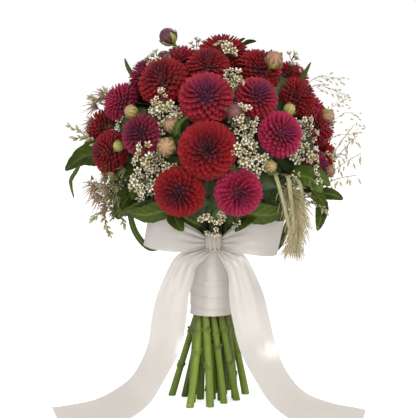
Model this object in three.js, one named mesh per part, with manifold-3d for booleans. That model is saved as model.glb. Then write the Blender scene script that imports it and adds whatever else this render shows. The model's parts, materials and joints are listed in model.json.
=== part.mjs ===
// Hand-tied dahlia bouquet that stands on the level cut ends of its own spiral of stems.
// Millimetres, +Z up, X to the right and Y away from the viewer.
// The origin is the centre of the middle stem's cut end, on the surface that the bouquet stands on.

import * as THREE from 'three';
import { mergeVertices } from 'three/addons/utils/BufferGeometryUtils.js';
import Module from 'manifold-3d';

const wasm = await Module();
wasm.setup();

// Driving dimensions
const GAP = 0.3;
const RIBBON_THICKNESS = 0.8;
const BLADE_THICKNESS = 0.9;
const MERGE_REACH = 1e-4;
const HEAD = { z: 306, x: 133, y: 121, z_radius: 134 };
const BUNDLE = { inner: 9.5, outer: 17.5, waist: 140, neck: 216 };
const STEM = { cut: 4.8, plain: 4.2, pressed: 5.15, top: 2.9, fork: 2.6, shoot: 1.6, sides: 6 };
const BINDING = { low: 113, high: 208, wrap: 25.9, skirt: 27.5, facets: 18 };
const TAPE = { low: 152, high: 203, radius: 24.8, thickness: 0.8 };
const THIN_STALK = {
  radius: 1.15,
  ring: 23.25,
  foot: 154,
  free: 206,
  leaning: 214,
  lean: 2.4,
  sides: 4,
};
const BALL = { front: 0.8, back: 0.5, heart: 0.9 };
const FLORET = { radius: 7.2, spacing: 14, rise: 7, stalk: 0.6, knob: 2.4, rim_corners: 10 };

// Whorls of petals of a ball dahlia from its centre out: petals, polar angle of their lips
const WHORLS = [[5, 15], [7, 38], [8, 64], [6, 93]];
// A petal's lip in shares of the ball and in degrees: its notch, its tip's tilt, and the crease behind it
const PETAL = { notch: 0.87, tilt: 4, crease: 0.8, crease_tilt: 15, jitter: 0.03 };

const SKINS = {
  dahlia_red: { color: 0x9c1016, roughness: 0.62 },
  dahlia_crimson: { color: 0x7a0d22, roughness: 0.62 },
  dahlia_plum: { color: 0x5e1236, roughness: 0.62 },
  dahlia_magenta: { color: 0x9a1247, roughness: 0.62 },
  green_stem: { color: 0x6f8f33, roughness: 0.55 },
  wax_flower: { color: 0xeae3cf, roughness: 0.6 },
  leaf: { color: 0x4c6327, roughness: 0.6 },
  dry_grass: { color: 0xb9a882, roughness: 0.8 },
  satin_ribbon: { color: 0xe0dad4, roughness: 0.38 },
  binding_tape: { color: 0x3f5a34, roughness: 0.7 },
};

// Blooms: azimuth from the front toward the right, elevation, diameter, colour, reach of the shell
const BLOOMS = [
  [0, 86, 60, 'red', 1], [-100, 73, 48, 'crimson', 0.98], [-88, 53, 44, 'plum', 1.02],
  [-44, 51, 60, 'red', 1], [-5, 62, 50, 'red', 1], [-4, 40, 62, 'crimson', 1],
  [64, 61, 54, 'red', 1], [32, 39, 50, 'crimson', 1], [135, 68, 52, 'crimson', 1],
  [-4, 14, 66, 'red', 1], [77, 37, 50, 'red', 1.02], [40, 19, 54, 'magenta', 1],
  [86, 19, 46, 'crimson', 1.05], [98, 2, 46, 'red', 1.04], [74, 0, 36, 'plum', 1],
  [106, 45, 48, 'crimson', 1.09], [112, 24, 48, 'crimson', 1.09], [14, -14, 62, 'magenta', 1],
  [-16, -11, 66, 'red', 1], [-70, 7, 52, 'red', 1], [-92, 19, 46, 'red', 1.08],
  [-43, 19, 48, 'plum', 1], [-84, 37, 48, 'magenta', 1.03],
  [-136, 56, 56, 'red', 1], [-122, 30, 58, 'crimson', 1.03], [-112, 2, 54, 'red', 1.02],
  [-146, 8, 62, 'magenta', 1], [-158, 34, 60, 'red', 1], [178, 60, 56, 'plum', 1],
  [172, 12, 64, 'red', 1], [150, 38, 60, 'crimson', 1], [136, 6, 58, 'magenta', 1.02],
  [-172, -16, 54, 'crimson', 1], [140, -20, 50, 'red', 1], [-128, -18, 48, 'plum', 1],
];

// Side buds: azimuth, elevation, diameter
const BUDS = [
  [-80, 66, 17], [-50, 28, 16], [-24, 24, 18], [-56, 11, 13], [15, 31, 18], [92, 57, 17],
  [50, 30, 15], [94, 30, 16], [32, 2, 15], [86, -14, 16], [-140, 34, 17], [160, 22, 17],
];
// Rings of a bud in shares of its radius: height and width, with its seven corners
const BUD_RINGS = [[-1, 0], [-0.45, 0.88], [0.45, 0.88], [1, 0]];
const BUD_CORNERS = 7;

// Wax-flower sprays: name, azimuth of the stalk's foot, and clusters by azimuth, elevation, spread, flowers
const WAX_SPRAYS = [
  {
    name: 'wax_spray_front',
    foot: 14,
    patches: [[17, 24, 14, 4], [15, 9, 14, 4], [15, 47, 10, 3], [0, -28, 13, 2], [26, 76, 13, 3]],
  },
  {
    name: 'wax_spray_left',
    foot: -15,
    patches: [[-28, 32, 15, 4], [-33, 6, 14, 4], [-35, -6, 13, 4], [-66, 60, 11, 3]],
  },
  {
    name: 'wax_spray_right',
    foot: 50,
    patches: [[57, 20, 11, 3], [54, 7, 11, 3], [56, -8, 9, 2], [92, 50, 9, 2]],
  },
  {
    name: 'wax_spray_low_left',
    foot: -69,
    patches: [[-62, -14, 16, 4], [-102, 28, 10, 2], [-86, -12, 13, 3]],
  },
  {
    name: 'wax_spray_back',
    foot: 165,
    patches: [[165, 25, 13, 3], [-150, 20, 13, 3], [-176, 46, 10, 3], [-150, 74, 10, 2]],
  },
];

const vec = (x, y, z) => new THREE.Vector3(x, y, z);
const at = ([x, y, z]) => vec(x, y, z);
const radians = THREE.MathUtils.degToRad;
const UP = vec(0, 0, 1);
const GOLDEN_TURN = Math.PI * (3 - Math.sqrt(5));

// The same draw for the same number, from 0 to 1
function scatter(number) {
  const wave = Math.sin(number * 127.1 + 311.7) * 43758.5453;
  return wave - Math.floor(wave);
}

// A point of the head's shell, by azimuth from the front, elevation and reach
function shellPoint(azimuth, elevation, reach = 1) {
  const a = radians(azimuth);
  const e = radians(elevation);
  return vec(
    HEAD.x * reach * Math.sin(a) * Math.cos(e),
    -HEAD.y * reach * Math.cos(a) * Math.cos(e),
    HEAD.z + HEAD.z_radius * reach * Math.sin(e),
  );
}

// The way out of the head at a point
function outward(point) {
  const rise = (point.z - HEAD.z) / HEAD.z_radius ** 2;
  return vec(point.x / HEAD.x ** 2, point.y / HEAD.y ** 2, rise).normalize();
}

function ringPoint(azimuth, radius, z) {
  return vec(radius * Math.sin(radians(azimuth)), -radius * Math.cos(radians(azimuth)), z);
}

// A geometry with nothing but its positions, ready for its doubles to be merged
function bare(geometry) {
  geometry.deleteAttribute('normal');
  geometry.deleteAttribute('uv');
  return geometry;
}

// A closed solid from points and triangles, turned so that its faces point out
function solidFrom(points, faces) {
  let volume = 0;
  for (const [a, b, c] of faces) volume += points[a].dot(points[b].clone().cross(points[c]));
  const turned = volume < 0 ? faces.map(([a, b, c]) => [a, c, b]) : faces;
  return new wasm.Manifold(new wasm.Mesh({
    numProp: 3,
    vertProperties: new Float32Array(points.flatMap((p) => [p.x, p.y, p.z])),
    triVerts: new Uint32Array(turned.flat()),
  }));
}

function join(solids) {
  return solids.reduce((whole, piece) => whole.add(piece));
}

// A tapered stalk round a path, its first ring level where it is cut level
function stalk(path, radiusAt, sides, { levelFoot = false, flatSide = null, endAlong = null } = {}) {
  const points = [];
  const faces = [];
  const last = path.length - 1;
  let across = flatSide;
  path.forEach((centre, i) => {
    const along = i === last && endAlong
      ? endAlong
      : path[Math.min(i + 1, last)].clone().sub(path[Math.max(i - 1, 0)]).normalize();
    if (!across) across = Math.abs(along.x) < 0.9 ? vec(1, 0, 0) : vec(0, 1, 0);
    across = across.clone().addScaledVector(along, -across.dot(along)).normalize();
    const other = along.clone().cross(across);
    for (let k = 0; k < sides; k += 1) {
      const turn = (2 * Math.PI * (k + 0.5)) / sides;
      const spoke = across.clone().multiplyScalar(Math.cos(turn)).addScaledVector(other, Math.sin(turn));
      const point = centre.clone().addScaledVector(spoke, radiusAt(i / last));
      if (i === 0 && levelFoot) point.addScaledVector(along, (centre.z - point.z) / along.z);
      points.push(point);
    }
  });
  for (let i = 0; i < last; i += 1) {
    for (let k = 0; k < sides; k += 1) {
      const a = i * sides + k;
      const b = i * sides + ((k + 1) % sides);
      faces.push([a, b, b + sides], [a, b + sides, a + sides]);
    }
  }
  for (let k = 1; k < sides - 1; k += 1) {
    faces.push([0, k + 1, k], [last * sides, last * sides + k, last * sides + k + 1]);
  }
  return solidFrom(points, faces);
}

// A thin sheet round rows of points, both of its faces split into triangles alike
function sheet(rows, thickness) {
  const count = rows[0].length;
  const lastRow = rows.length - 1;
  const front = [];
  const back = [];
  rows.forEach((row, i) => row.forEach((point, j) => {
    const along = rows[Math.min(i + 1, lastRow)][j].clone().sub(rows[Math.max(i - 1, 0)][j]);
    const across = row[Math.min(j + 1, count - 1)].clone().sub(row[Math.max(j - 1, 0)]);
    const normal = along.cross(across).normalize();
    front.push(point.clone().addScaledVector(normal, thickness / 2));
    back.push(point.clone().addScaledVector(normal, -thickness / 2));
  }));
  const half = front.length;
  const faces = [];
  for (let i = 0; i < lastRow; i += 1) {
    for (let j = 0; j < count - 1; j += 1) {
      const a = i * count + j;
      const b = half + a;
      faces.push([a, a + 1, a + count + 1], [a, a + count + 1, a + count]);
      faces.push([b, b + count + 1, b + 1], [b, b + count, b + count + 1]);
    }
  }
  const rim = [];
  for (let j = 0; j < count - 1; j += 1) rim.push(j);
  for (let i = 0; i < lastRow; i += 1) rim.push(i * count + count - 1);
  for (let j = count - 1; j > 0; j -= 1) rim.push(lastRow * count + j);
  for (let i = lastRow; i > 0; i -= 1) rim.push(i * count);
  rim.forEach((a, k) => {
    const b = rim[(k + 1) % rim.length];
    faces.push([a, half + b, b], [a, half + a, half + b]);
  });
  return solidFrom([...front, ...back], faces);
}

// Two rings of points with their own counts, joined by triangles in order of angle
function stitch(faces, lower, upper) {
  let i = 0;
  let j = 0;
  while (i < lower.length || j < upper.length) {
    const nextLower = (i + 1) / lower.length;
    const nextUpper = (j + 1) / upper.length;
    const a = lower[i % lower.length];
    const b = upper[j % upper.length];
    if (j === upper.length || (i < lower.length && nextLower <= nextUpper)) {
      faces.push([a, b, lower[(i + 1) % lower.length]]);
      i += 1;
    } else {
      faces.push([a, b, upper[(j + 1) % upper.length]]);
      j += 1;
    }
  }
}

// A ball dahlia round the origin that faces +Z: whorl after whorl of pointed petals over a small core
function bloomSolid(radius, seed, toPlace) {
  const points = [];
  const faces = [];
  const addPoint = (polar, turn, reach) => {
    const height = polar < 90 ? BALL.front : BALL.back;
    const r = radius * reach;
    const p = radians(polar);
    points.push(vec(
      r * Math.sin(p) * Math.cos(turn),
      r * Math.sin(p) * Math.sin(turn),
      r * height * Math.cos(p),
    ).applyMatrix4(toPlace));
    return points.length - 1;
  };
  const addRing = (count, pick) => Array.from({ length: count }, (_, k) => pick(k));
  const heart = addPoint(0, 0, BALL.heart);
  let previous = null;
  WHORLS.forEach(([petals, polar], w) => {
    const half = w % 2 === 0 ? 0 : Math.PI / petals;
    if (previous) {
      const crease = addRing(petals, (k) => (
        addPoint(polar - PETAL.crease_tilt, (2 * Math.PI * k) / petals + half, PETAL.crease)
      ));
      stitch(faces, previous, crease);
      previous = crease;
    }
    const lip = addRing(2 * petals, (k) => {
      const turn = (Math.PI * k) / petals + half;
      const isTip = k % 2 === 0;
      const jitter = PETAL.jitter * scatter(seed * 31 + w * 7 + k);
      return isTip
        ? addPoint(polar + PETAL.tilt, turn, 1 - jitter)
        : addPoint(polar - PETAL.tilt, turn, PETAL.notch);
    });
    if (previous) stitch(faces, previous, lip);
    else lip.forEach((a, k) => faces.push([heart, a, lip[(k + 1) % lip.length]]));
    previous = lip;
  });
  const foot = addPoint(180, 0, 1);
  previous.forEach((a, k) => faces.push([foot, previous[(k + 1) % previous.length], a]));
  return solidFrom(points, faces);
}

// The turn and place that bring +Z at the origin to a facing at a point
function placement(centre, facing, spin) {
  const turn = new THREE.Quaternion().setFromUnitVectors(UP, facing);
  turn.multiply(new THREE.Quaternion().setFromAxisAngle(UP, spin));
  return new THREE.Matrix4().compose(centre, turn, vec(1, 1, 1));
}

// Everything that passes through the head's shell, eased apart until nothing presses in
const SETTLING = { rounds: 500, gap: 0.6, ease: 0.6 };
function settle(items) {
  for (let round = 0; round < SETTLING.rounds; round += 1) {
    for (let i = 0; i < items.length; i += 1) {
      for (let j = i + 1; j < items.length; j += 1) {
        const away = items[j].centre.clone().sub(items[i].centre);
        const short = items[i].radius + items[j].radius + SETTLING.gap - away.length();
        if (short > 0) {
          away.normalize();
          const share = items[j].radius / (items[i].radius + items[j].radius);
          items[i].centre.addScaledVector(away, -short * (1 - share) * SETTLING.ease);
          items[j].centre.addScaledVector(away, short * share * SETTLING.ease);
        }
      }
    }
    items.forEach((item) => {
      const c = item.centre;
      const reach = Math.hypot(c.x / HEAD.x, c.y / HEAD.y, (c.z - HEAD.z) / HEAD.z_radius);
      const pull = item.reach / reach;
      item.centre.set(c.x * pull, c.y * pull, HEAD.z + (c.z - HEAD.z) * pull);
    });
  }
}

// A bud's shoot and a cluster's stalk pass the shell with this much room round them
const SHOOT_ROOM = 3.6;
const STALK_ROOM = 3;
const blooms = BLOOMS.map(([azimuth, elevation, diameter, colour, reach], index) => ({
  index,
  colour,
  reach,
  radius: diameter / 2,
  centre: shellPoint(azimuth, elevation, reach),
}));
const buds = BUDS.map(([azimuth, elevation, diameter]) => ({
  reach: 1,
  radius: SHOOT_ROOM,
  ball: diameter / 2,
  centre: shellPoint(azimuth, elevation),
}));
const patches = WAX_SPRAYS.flatMap((spray) => spray.patches.map(([azimuth, elevation, spread, flowers]) => ({
  spread,
  flowers,
  spray: spray.name,
  reach: 1,
  radius: STALK_ROOM,
  centre: shellPoint(azimuth, elevation),
})));
settle([...blooms, ...buds, ...patches]);
blooms.forEach((bloom) => { bloom.facing = outward(bloom.centre); });

// How far a point lies outside the oblate ball of a bloom, less than 0 inside
function bloomClearance(bloom, point) {
  const offset = point.clone().sub(bloom.centre);
  const height = offset.dot(bloom.facing);
  const width = Math.sqrt(Math.max(offset.lengthSq() - height * height, 0));
  const depth = bloom.radius * (height > 0 ? BALL.front : BALL.back);
  const scaled = Math.hypot(width / bloom.radius, height / depth);
  if (scaled < 1e-6) return -depth;
  return offset.length() * (1 - 1 / scaled);
}

// What later stalks keep clear of: beads along the stalks already made
const beads = [];
const BEAD_SPACING = 3;
function addBeads(path, radius) {
  for (let i = 0; i < path.length - 1; i += 1) {
    const steps = Math.max(1, Math.ceil(path[i].distanceTo(path[i + 1]) / BEAD_SPACING));
    for (let s = 0; s <= steps; s += 1) {
      beads.push({ centre: path[i].clone().lerp(path[i + 1], s / steps), radius });
    }
  }
}

// A path along a guide that bends only as far as it must round the blooms and the stalks before it.
// In its first rounds each bend also follows the bends next to it
const ROUTING = { rounds: 80, smooth: 60, own: 0.7, next: 0.15, bloom_gap: 1.2, stalk_gap: 0.8, ease: 0.5 };
function route(guide, steps, radius, ownBloom = null) {
  const rest = new THREE.CatmullRomCurve3(guide, false, 'centripetal').getSpacedPoints(steps);
  const bends = rest.map(() => vec(0, 0, 0));
  for (let round = 0; round < ROUTING.rounds; round += 1) {
    for (let i = 1; i < steps; i += 1) {
      if (round < ROUTING.smooth) {
        bends[i].multiplyScalar(ROUTING.own)
          .addScaledVector(bends[i - 1], ROUTING.next)
          .addScaledVector(bends[i + 1], ROUTING.next);
      }
      const place = rest[i].clone().add(bends[i]);
      for (const bloom of blooms) {
        if (bloom !== ownBloom) {
          const short = radius + ROUTING.bloom_gap - bloomClearance(bloom, place);
          if (short > 0) place.addScaledVector(place.clone().sub(bloom.centre).normalize(), short);
        }
      }
      for (const bead of beads) {
        const away = place.clone().sub(bead.centre);
        const short = radius + bead.radius + ROUTING.stalk_gap - away.length();
        if (short > 0 && away.lengthSq() > 0) place.addScaledVector(away.normalize(), short * ROUTING.ease);
      }
      bends[i].copy(place).sub(rest[i]);
    }
  }
  return rest.map((place, i) => place.clone().add(bends[i]));
}

// The stems are held in three groups round the middle one. Each group's stems press together
// in the binding, and the groups stand a little apart. Offsets are from the group's azimuth there
const OUTER_OFFSETS = [-43.4, -14.5, 14.5, 43.4];
const INNER_OFFSETS = [-24.5, 24.5];

// Azimuth and radius of each cut end on the surface: four outer stems, then two inner ones
const GROUPS = {
  stems_right: {
    azimuth: 105,
    from: 45,
    to: 165,
    feet: [[100, 30], [124, 53], [159, 58], [186, 46], [150, 31], [176, 34]],
  },
  stems_back: {
    azimuth: 225,
    from: 165,
    to: 285,
    feet: [[210, 55], [228, 44], [248, 56], [305, 31], [214, 32], [247, 38]],
  },
  stems_front: {
    azimuth: 345,
    from: 285,
    to: 405,
    feet: [[329, 54], [357, 43], [33, 28], [80, 32], [270, 15], [60, 14]],
  },
};

function azimuthOf(point) {
  return (THREE.MathUtils.radToDeg(Math.atan2(point.x, -point.y)) + 360) % 360;
}

// The bound stretch of a stem from its cut end up to the top of the binding. Where it enters the ribbon
// it is still a little outside its place in the ring and short of it
const ENTRY = { turn: 4, spread: 1.2, height: 4 };
function boundPath([footAzimuth, footRadius], bindingAzimuth, ring) {
  return [
    ringPoint(footAzimuth, footRadius, 0),
    ringPoint(bindingAzimuth + ENTRY.turn, ring + ENTRY.spread, BINDING.low + ENTRY.height),
    ringPoint(bindingAzimuth, ring, BUNDLE.waist),
    ringPoint(bindingAzimuth, ring, BUNDLE.neck),
  ];
}

// A stem's radius by the share of its way: its cut end, the binding's grip and the stretch to the bloom
const STEM_SHARES = { cut: 0.1, grip: [0.3, 0.4], top: 0.6, middle: 0.35 };
function stemRadius(share) {
  if (share < STEM_SHARES.cut) return STEM.cut;
  if (share > STEM_SHARES.top) return STEM.top;
  return share > STEM_SHARES.grip[0] && share < STEM_SHARES.grip[1] ? STEM.pressed : STEM.plain;
}

// The head stretch of a stem, from where it leaves to the back of its bloom. It keeps its heading for the
// first share of the way and comes up behind the bloom for the last
const CLIMB = { leave: 0.35, arrive: 0.25 };
function climbTo(start, heading, bloom, steps, radius) {
  const seat = bloom.centre.clone().addScaledVector(bloom.facing, -(bloom.radius * BALL.back + GAP));
  const reach = seat.distanceTo(start);
  const guide = [
    start,
    start.clone().addScaledVector(heading, reach * CLIMB.leave),
    seat.clone().addScaledVector(bloom.facing, -reach * CLIMB.arrive),
    seat,
  ];
  return route(guide, steps, radius, bloom);
}

// Moves a centre out of the head along its facing, half a millimetre at a time, until it is clear
const LIFT = { step: 0.5, most: 60 };
function liftClear(centre, facing, isClear) {
  for (let lift = 0; !isClear() && lift < LIFT.most; lift += LIFT.step) {
    centre.addScaledVector(facing, LIFT.step);
  }
}

// A side bud and its shoot, from a base on the stem that carries it. The shoot arches up a little and
// ends inside the bud; the shares are of the bud's radius
const BUD = { room: 1.12, neck: 0.8, arch: 4 };
function budSolid(bud, base) {
  const facing = outward(bud.centre);
  const ball = bud.centre.clone();
  liftClear(ball, facing, () => (
    blooms.every((bloom) => bloomClearance(bloom, ball) > bud.ball * BUD.room)
  ));
  const toPlace = placement(ball, facing, 0);
  const points = [];
  const faces = [];
  const rings = BUD_RINGS.map(([height, width]) => {
    const count = width === 0 ? 1 : BUD_CORNERS;
    return Array.from({ length: count }, (_, k) => {
      const turn = (2 * Math.PI * k) / count;
      const r = bud.ball * width;
      points.push(vec(r * Math.cos(turn), r * Math.sin(turn), bud.ball * height).applyMatrix4(toPlace));
      return points.length - 1;
    });
  });
  for (let i = 0; i < rings.length - 1; i += 1) {
    const [lower, upper] = [rings[i], rings[i + 1]];
    for (let k = 0; k < BUD_CORNERS; k += 1) {
      const next = (k + 1) % BUD_CORNERS;
      if (lower.length > 1) faces.push([lower[k], lower[next], upper[upper.length > 1 ? next : 0]]);
      if (upper.length > 1) faces.push([lower[lower.length > 1 ? k : 0], upper[next], upper[k]]);
    }
  }
  const neck = ball.clone().addScaledVector(facing, -bud.ball * BUD.neck);
  const bow = base.clone().lerp(neck, 0.5).addScaledVector(UP, BUD.arch);
  const guide = [base, bow, bud.centre.clone(), neck];
  const path = route(guide, 3, STEM.shoot);
  addBeads(path, STEM.shoot);
  beads.push({ centre: ball, radius: bud.ball });
  return [solidFrom(points, faces), stalk(path, () => STEM.shoot, 3)];
}

// Inner stems climb to blooms that face up at least so far, outer ones to those that face up at most so far
const FACES_UP = { inner: 0.62, outer: 0.8 };
// How far a stem leans out of the bundle above the binding, for each millimetre that it stands off its axis
const OUT_LEAN = 0.012;

// Each group of stems: its bound stems climb to blooms, and side shoots fork to the rest and to the buds
function stemGroup(group) {
  const inSector = (item) => {
    const azimuth = azimuthOf(item.centre);
    return (azimuth >= group.from && azimuth < group.to) || azimuth + 360 < group.to;
  };
  const stems = [
    ...INNER_OFFSETS.map((offset, k) => (
      { offset, foot: group.feet[OUTER_OFFSETS.length + k], ring: BUNDLE.inner, isInner: true }
    )),
    ...OUTER_OFFSETS.map((offset, k) => (
      { offset, foot: group.feet[k], ring: BUNDLE.outer, isInner: false }
    )),
  ];
  const own = blooms.filter((bloom) => bloom.index > 0 && inSector(bloom))
    .sort((a, b) => b.facing.z - a.facing.z);
  const solids = [];
  const made = [];
  const taken = new Set();
  stems.forEach((stem) => {
    const azimuth = group.azimuth + stem.offset;
    const bound = boundPath(stem.foot, azimuth, stem.ring);
    const top = bound[bound.length - 1];
    const suits = ({ facing }) => (stem.isInner ? facing.z > FACES_UP.inner : facing.z < FACES_UP.outer);
    const candidates = own.filter((bloom) => !taken.has(bloom) && suits(bloom));
    const side = (bloom) => Math.abs(((azimuthOf(bloom.centre) - azimuth + 2.5 * 360) % 360) - 180);
    const bloom = candidates.sort((a, b) => side(a) - side(b))[0] ?? own.find((item) => !taken.has(item));
    taken.add(bloom);
    const heading = UP.clone().addScaledVector(vec(top.x, top.y, 0), OUT_LEAN).normalize();
    const head = climbTo(top, heading, bloom, 3, STEM.top);
    const path = [...bound, ...head.slice(1)];
    const flatSide = ringPoint(azimuth + 90, 1, 0);
    solids.push(stalk(path, stemRadius, STEM.sides, { levelFoot: true, flatSide, endAlong: bloom.facing }));
    made.push({ head, bloom });
  });
  own.filter((bloom) => !taken.has(bloom)).forEach((bloom) => {
    const parent = made.slice().sort((a, b) => (
      a.head[1].distanceTo(bloom.centre) - b.head[1].distanceTo(bloom.centre)
    ))[0];
    const base = parent.head[1].clone();
    const path = climbTo(base, UP, bloom, 3, STEM.fork);
    solids.push(stalk(path, () => STEM.fork, 4, { endAlong: bloom.facing }));
    made.push({ head: path, bloom });
  });
  made.forEach((item) => addBeads(item.head, STEM.top));
  buds.filter(inSector).forEach((bud) => {
    const nearest = made.flatMap((item) => item.head.slice(1, -1))
      .sort((a, b) => a.distanceTo(bud.centre) - b.distanceTo(bud.centre))[0];
    solids.push(...budSolid(bud, nearest.clone()));
  });
  return join(solids);
}

// A five-petal wax flower that faces +Z, a cup with ten rim points, on its own stalk from a root
const CUP = { middle: 0.6, tip: 1.4, notch: -0.4, notch_share: 0.5, neck: -2.4, flare: 0.3, foot: 0.3 };
function floretSolid(toPlace, root) {
  const points = [vec(0, 0, CUP.middle)];
  const faces = [];
  const rim = [];
  const ring = (count, centre, radius) => Array.from({ length: count }, (_, k) => {
    const turn = (2 * Math.PI * k) / count;
    return points.push(vec(radius * Math.cos(turn), radius * Math.sin(turn), 0).add(centre)) - 1;
  });
  for (let k = 0; k < FLORET.rim_corners; k += 1) {
    const isTip = k % 2 === 0;
    const r = FLORET.radius * (isTip ? 1 : CUP.notch_share);
    const turn = (2 * Math.PI * k) / FLORET.rim_corners;
    rim.push(points.push(vec(r * Math.cos(turn), r * Math.sin(turn), isTip ? CUP.tip : CUP.notch)) - 1);
  }
  const neck = ring(3, vec(0, 0, CUP.neck), FLORET.stalk + CUP.flare);
  const foot = ring(3, root.clone().applyMatrix4(toPlace.clone().invert()), CUP.foot);
  rim.forEach((a, k) => faces.push([0, a, rim[(k + 1) % FLORET.rim_corners]]));
  stitch(faces, rim, neck);
  neck.forEach((a, k) => {
    const next = (k + 1) % 3;
    faces.push([neck[next], a, foot[k]], [neck[next], foot[k], foot[next]]);
  });
  faces.push([foot[0], foot[2], foot[1]]);
  return solidFrom(points.map((corner) => corner.applyMatrix4(toPlace)), faces);
}

// A thin stalk from its held foot on along its route
function thinStalk(held, path) {
  const whole = [...held, ...path.slice(1)];
  addBeads(whole, THIN_STALK.radius);
  return stalk(whole, () => THIN_STALK.radius, THIN_STALK.sides);
}

// The knob where the stalks of a cluster of wax flowers part
function knobSolid(centre) {
  const geometry = new THREE.OctahedronGeometry(FLORET.knob);
  const knob = mergeVertices(bare(geometry), MERGE_REACH);
  const corners = Array.from({ length: knob.attributes.position.count }, (_, i) => (
    new THREE.Vector3().fromBufferAttribute(knob.attributes.position, i).add(centre)
  ));
  const index = Array.from(knob.index.array);
  const count = index.length / 3;
  return solidFrom(corners, Array.from({ length: count }, (_, i) => index.slice(3 * i, 3 * i + 3)));
}

// The stretch of a thin stalk that is held under the tape, at the outside of the stems
function heldFoot(azimuth) {
  return [
    ringPoint(azimuth, THIN_STALK.ring, THIN_STALK.foot),
    ringPoint(azimuth, THIN_STALK.ring, THIN_STALK.free),
    ringPoint(azimuth, THIN_STALK.ring + THIN_STALK.lean, THIN_STALK.leaning),
  ];
}

// A spray of wax flowers: its trunk parts into stalks, and each ends in a knob with its cluster of flowers
const CLUSTER = {
  hub: 9,
  inside: -26,
  stalk: 1,
  trunk_share: 0.4,
  facing_share: 0.8,
  sway: 0.5,
  first: 0.35,
};
const florets = [];
function waxSpray(spray) {
  const solids = [];
  const foot = heldFoot(spray.foot);
  const own = patches.filter((patch) => patch.spray === spray.name);
  const start = foot[foot.length - 1];
  const middle = own.reduce((sum, patch) => sum.add(patch.centre), vec(0, 0, 0)).divideScalar(own.length);
  const trunk = route([start, start.clone().lerp(middle, CLUSTER.trunk_share)], 4, THIN_STALK.radius);
  solids.push(thinStalk(foot, trunk));
  const root = trunk[trunk.length - 1].clone().lerp(trunk[trunk.length - 2], 0.1);
  own.forEach((patch) => {
    const facing = outward(patch.centre);
    const hub = patch.centre.clone().addScaledVector(facing, CLUSTER.hub);
    const inside = patch.centre.clone().addScaledVector(facing, CLUSTER.inside);
    const path = route([root, inside, patch.centre, hub], 5, THIN_STALK.radius);
    solids.push(stalk(path, () => CLUSTER.stalk, 3), knobSolid(hub));
    patch.path = path;
    const across = facing.clone().cross(UP).normalize();
    const other = facing.clone().cross(across);
    for (let k = 0; k < patch.flowers; k += 1) {
      const turn = k * GOLDEN_TURN + patch.flowers;
      const out = patch.spread * Math.sqrt((k + CLUSTER.first) / patch.flowers);
      const centre = hub.clone().addScaledVector(facing, FLORET.rise)
        .addScaledVector(across, out * Math.cos(turn))
        .addScaledVector(other, out * Math.sin(turn));
      liftClear(centre, facing, () => (
        blooms.every((bloom) => bloomClearance(bloom, centre) >= FLORET.radius)
        && beads.every((bead) => bead.centre.distanceTo(centre) >= bead.radius + FLORET.radius)
        && florets.every((made) => made.distanceTo(centre) >= FLORET.spacing)
      ));
      florets.push(centre);
      const lean = centre.clone().sub(hub).normalize().multiplyScalar(CLUSTER.facing_share).add(facing);
      lean.addScaledVector(across, CLUSTER.sway * (scatter(k + spray.foot) - 0.5));
      lean.addScaledVector(other, CLUSTER.sway * (scatter(k * 3 + spray.foot) - 0.5)).normalize();
      solids.push(floretSolid(placement(centre, lean, scatter(k + spray.foot) * 2), hub));
    }
  });
  own.forEach((patch) => addBeads(patch.path, THIN_STALK.radius));
  return join(solids);
}

// A leaf blade along a midrib: half widths by station, folded up at the midrib, with a toothed edge
const LEAF = {
  toothed_stations: 7,
  plain_stations: 4,
  petiole: 0.16,
  petiole_radius: 0.8,
  tooth: 1.16,
  fold: 0.28,
};
function leafBlade(midrib, width, side, toothed) {
  const stations = toothed ? LEAF.toothed_stations : LEAF.plain_stations;
  const { petiole } = LEAF;
  const curve = new THREE.CatmullRomCurve3(midrib);
  const rows = [];
  for (let i = 0; i <= stations; i += 1) {
    const share = i / stations;
    const station = petiole + (1 - petiole) * share;
    const along = curve.getTangent(station);
    const across = side.clone().addScaledVector(along, -side.dot(along)).normalize();
    const normal = along.clone().cross(across);
    const swell = Math.sin(Math.PI * Math.min(0.97, share * 0.93 + 0.05) ** 0.8);
    const tooth = toothed && i % 2 === 1 && i < stations ? LEAF.tooth : 1;
    const half = Math.max(0.5, (width / 2) * swell * tooth);
    const centre = curve.getPoint(station);
    rows.push([-1, 0, 1].map((edge) => centre.clone()
      .addScaledVector(across, edge * half)
      .addScaledVector(normal, Math.abs(edge) * half * LEAF.fold)));
  }
  const neck = [0, petiole / 2, petiole + 0.04].map((share) => curve.getPoint(share));
  return sheet(rows, BLADE_THICKNESS).add(stalk(neck, () => LEAF.petiole_radius, 3));
}

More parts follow.
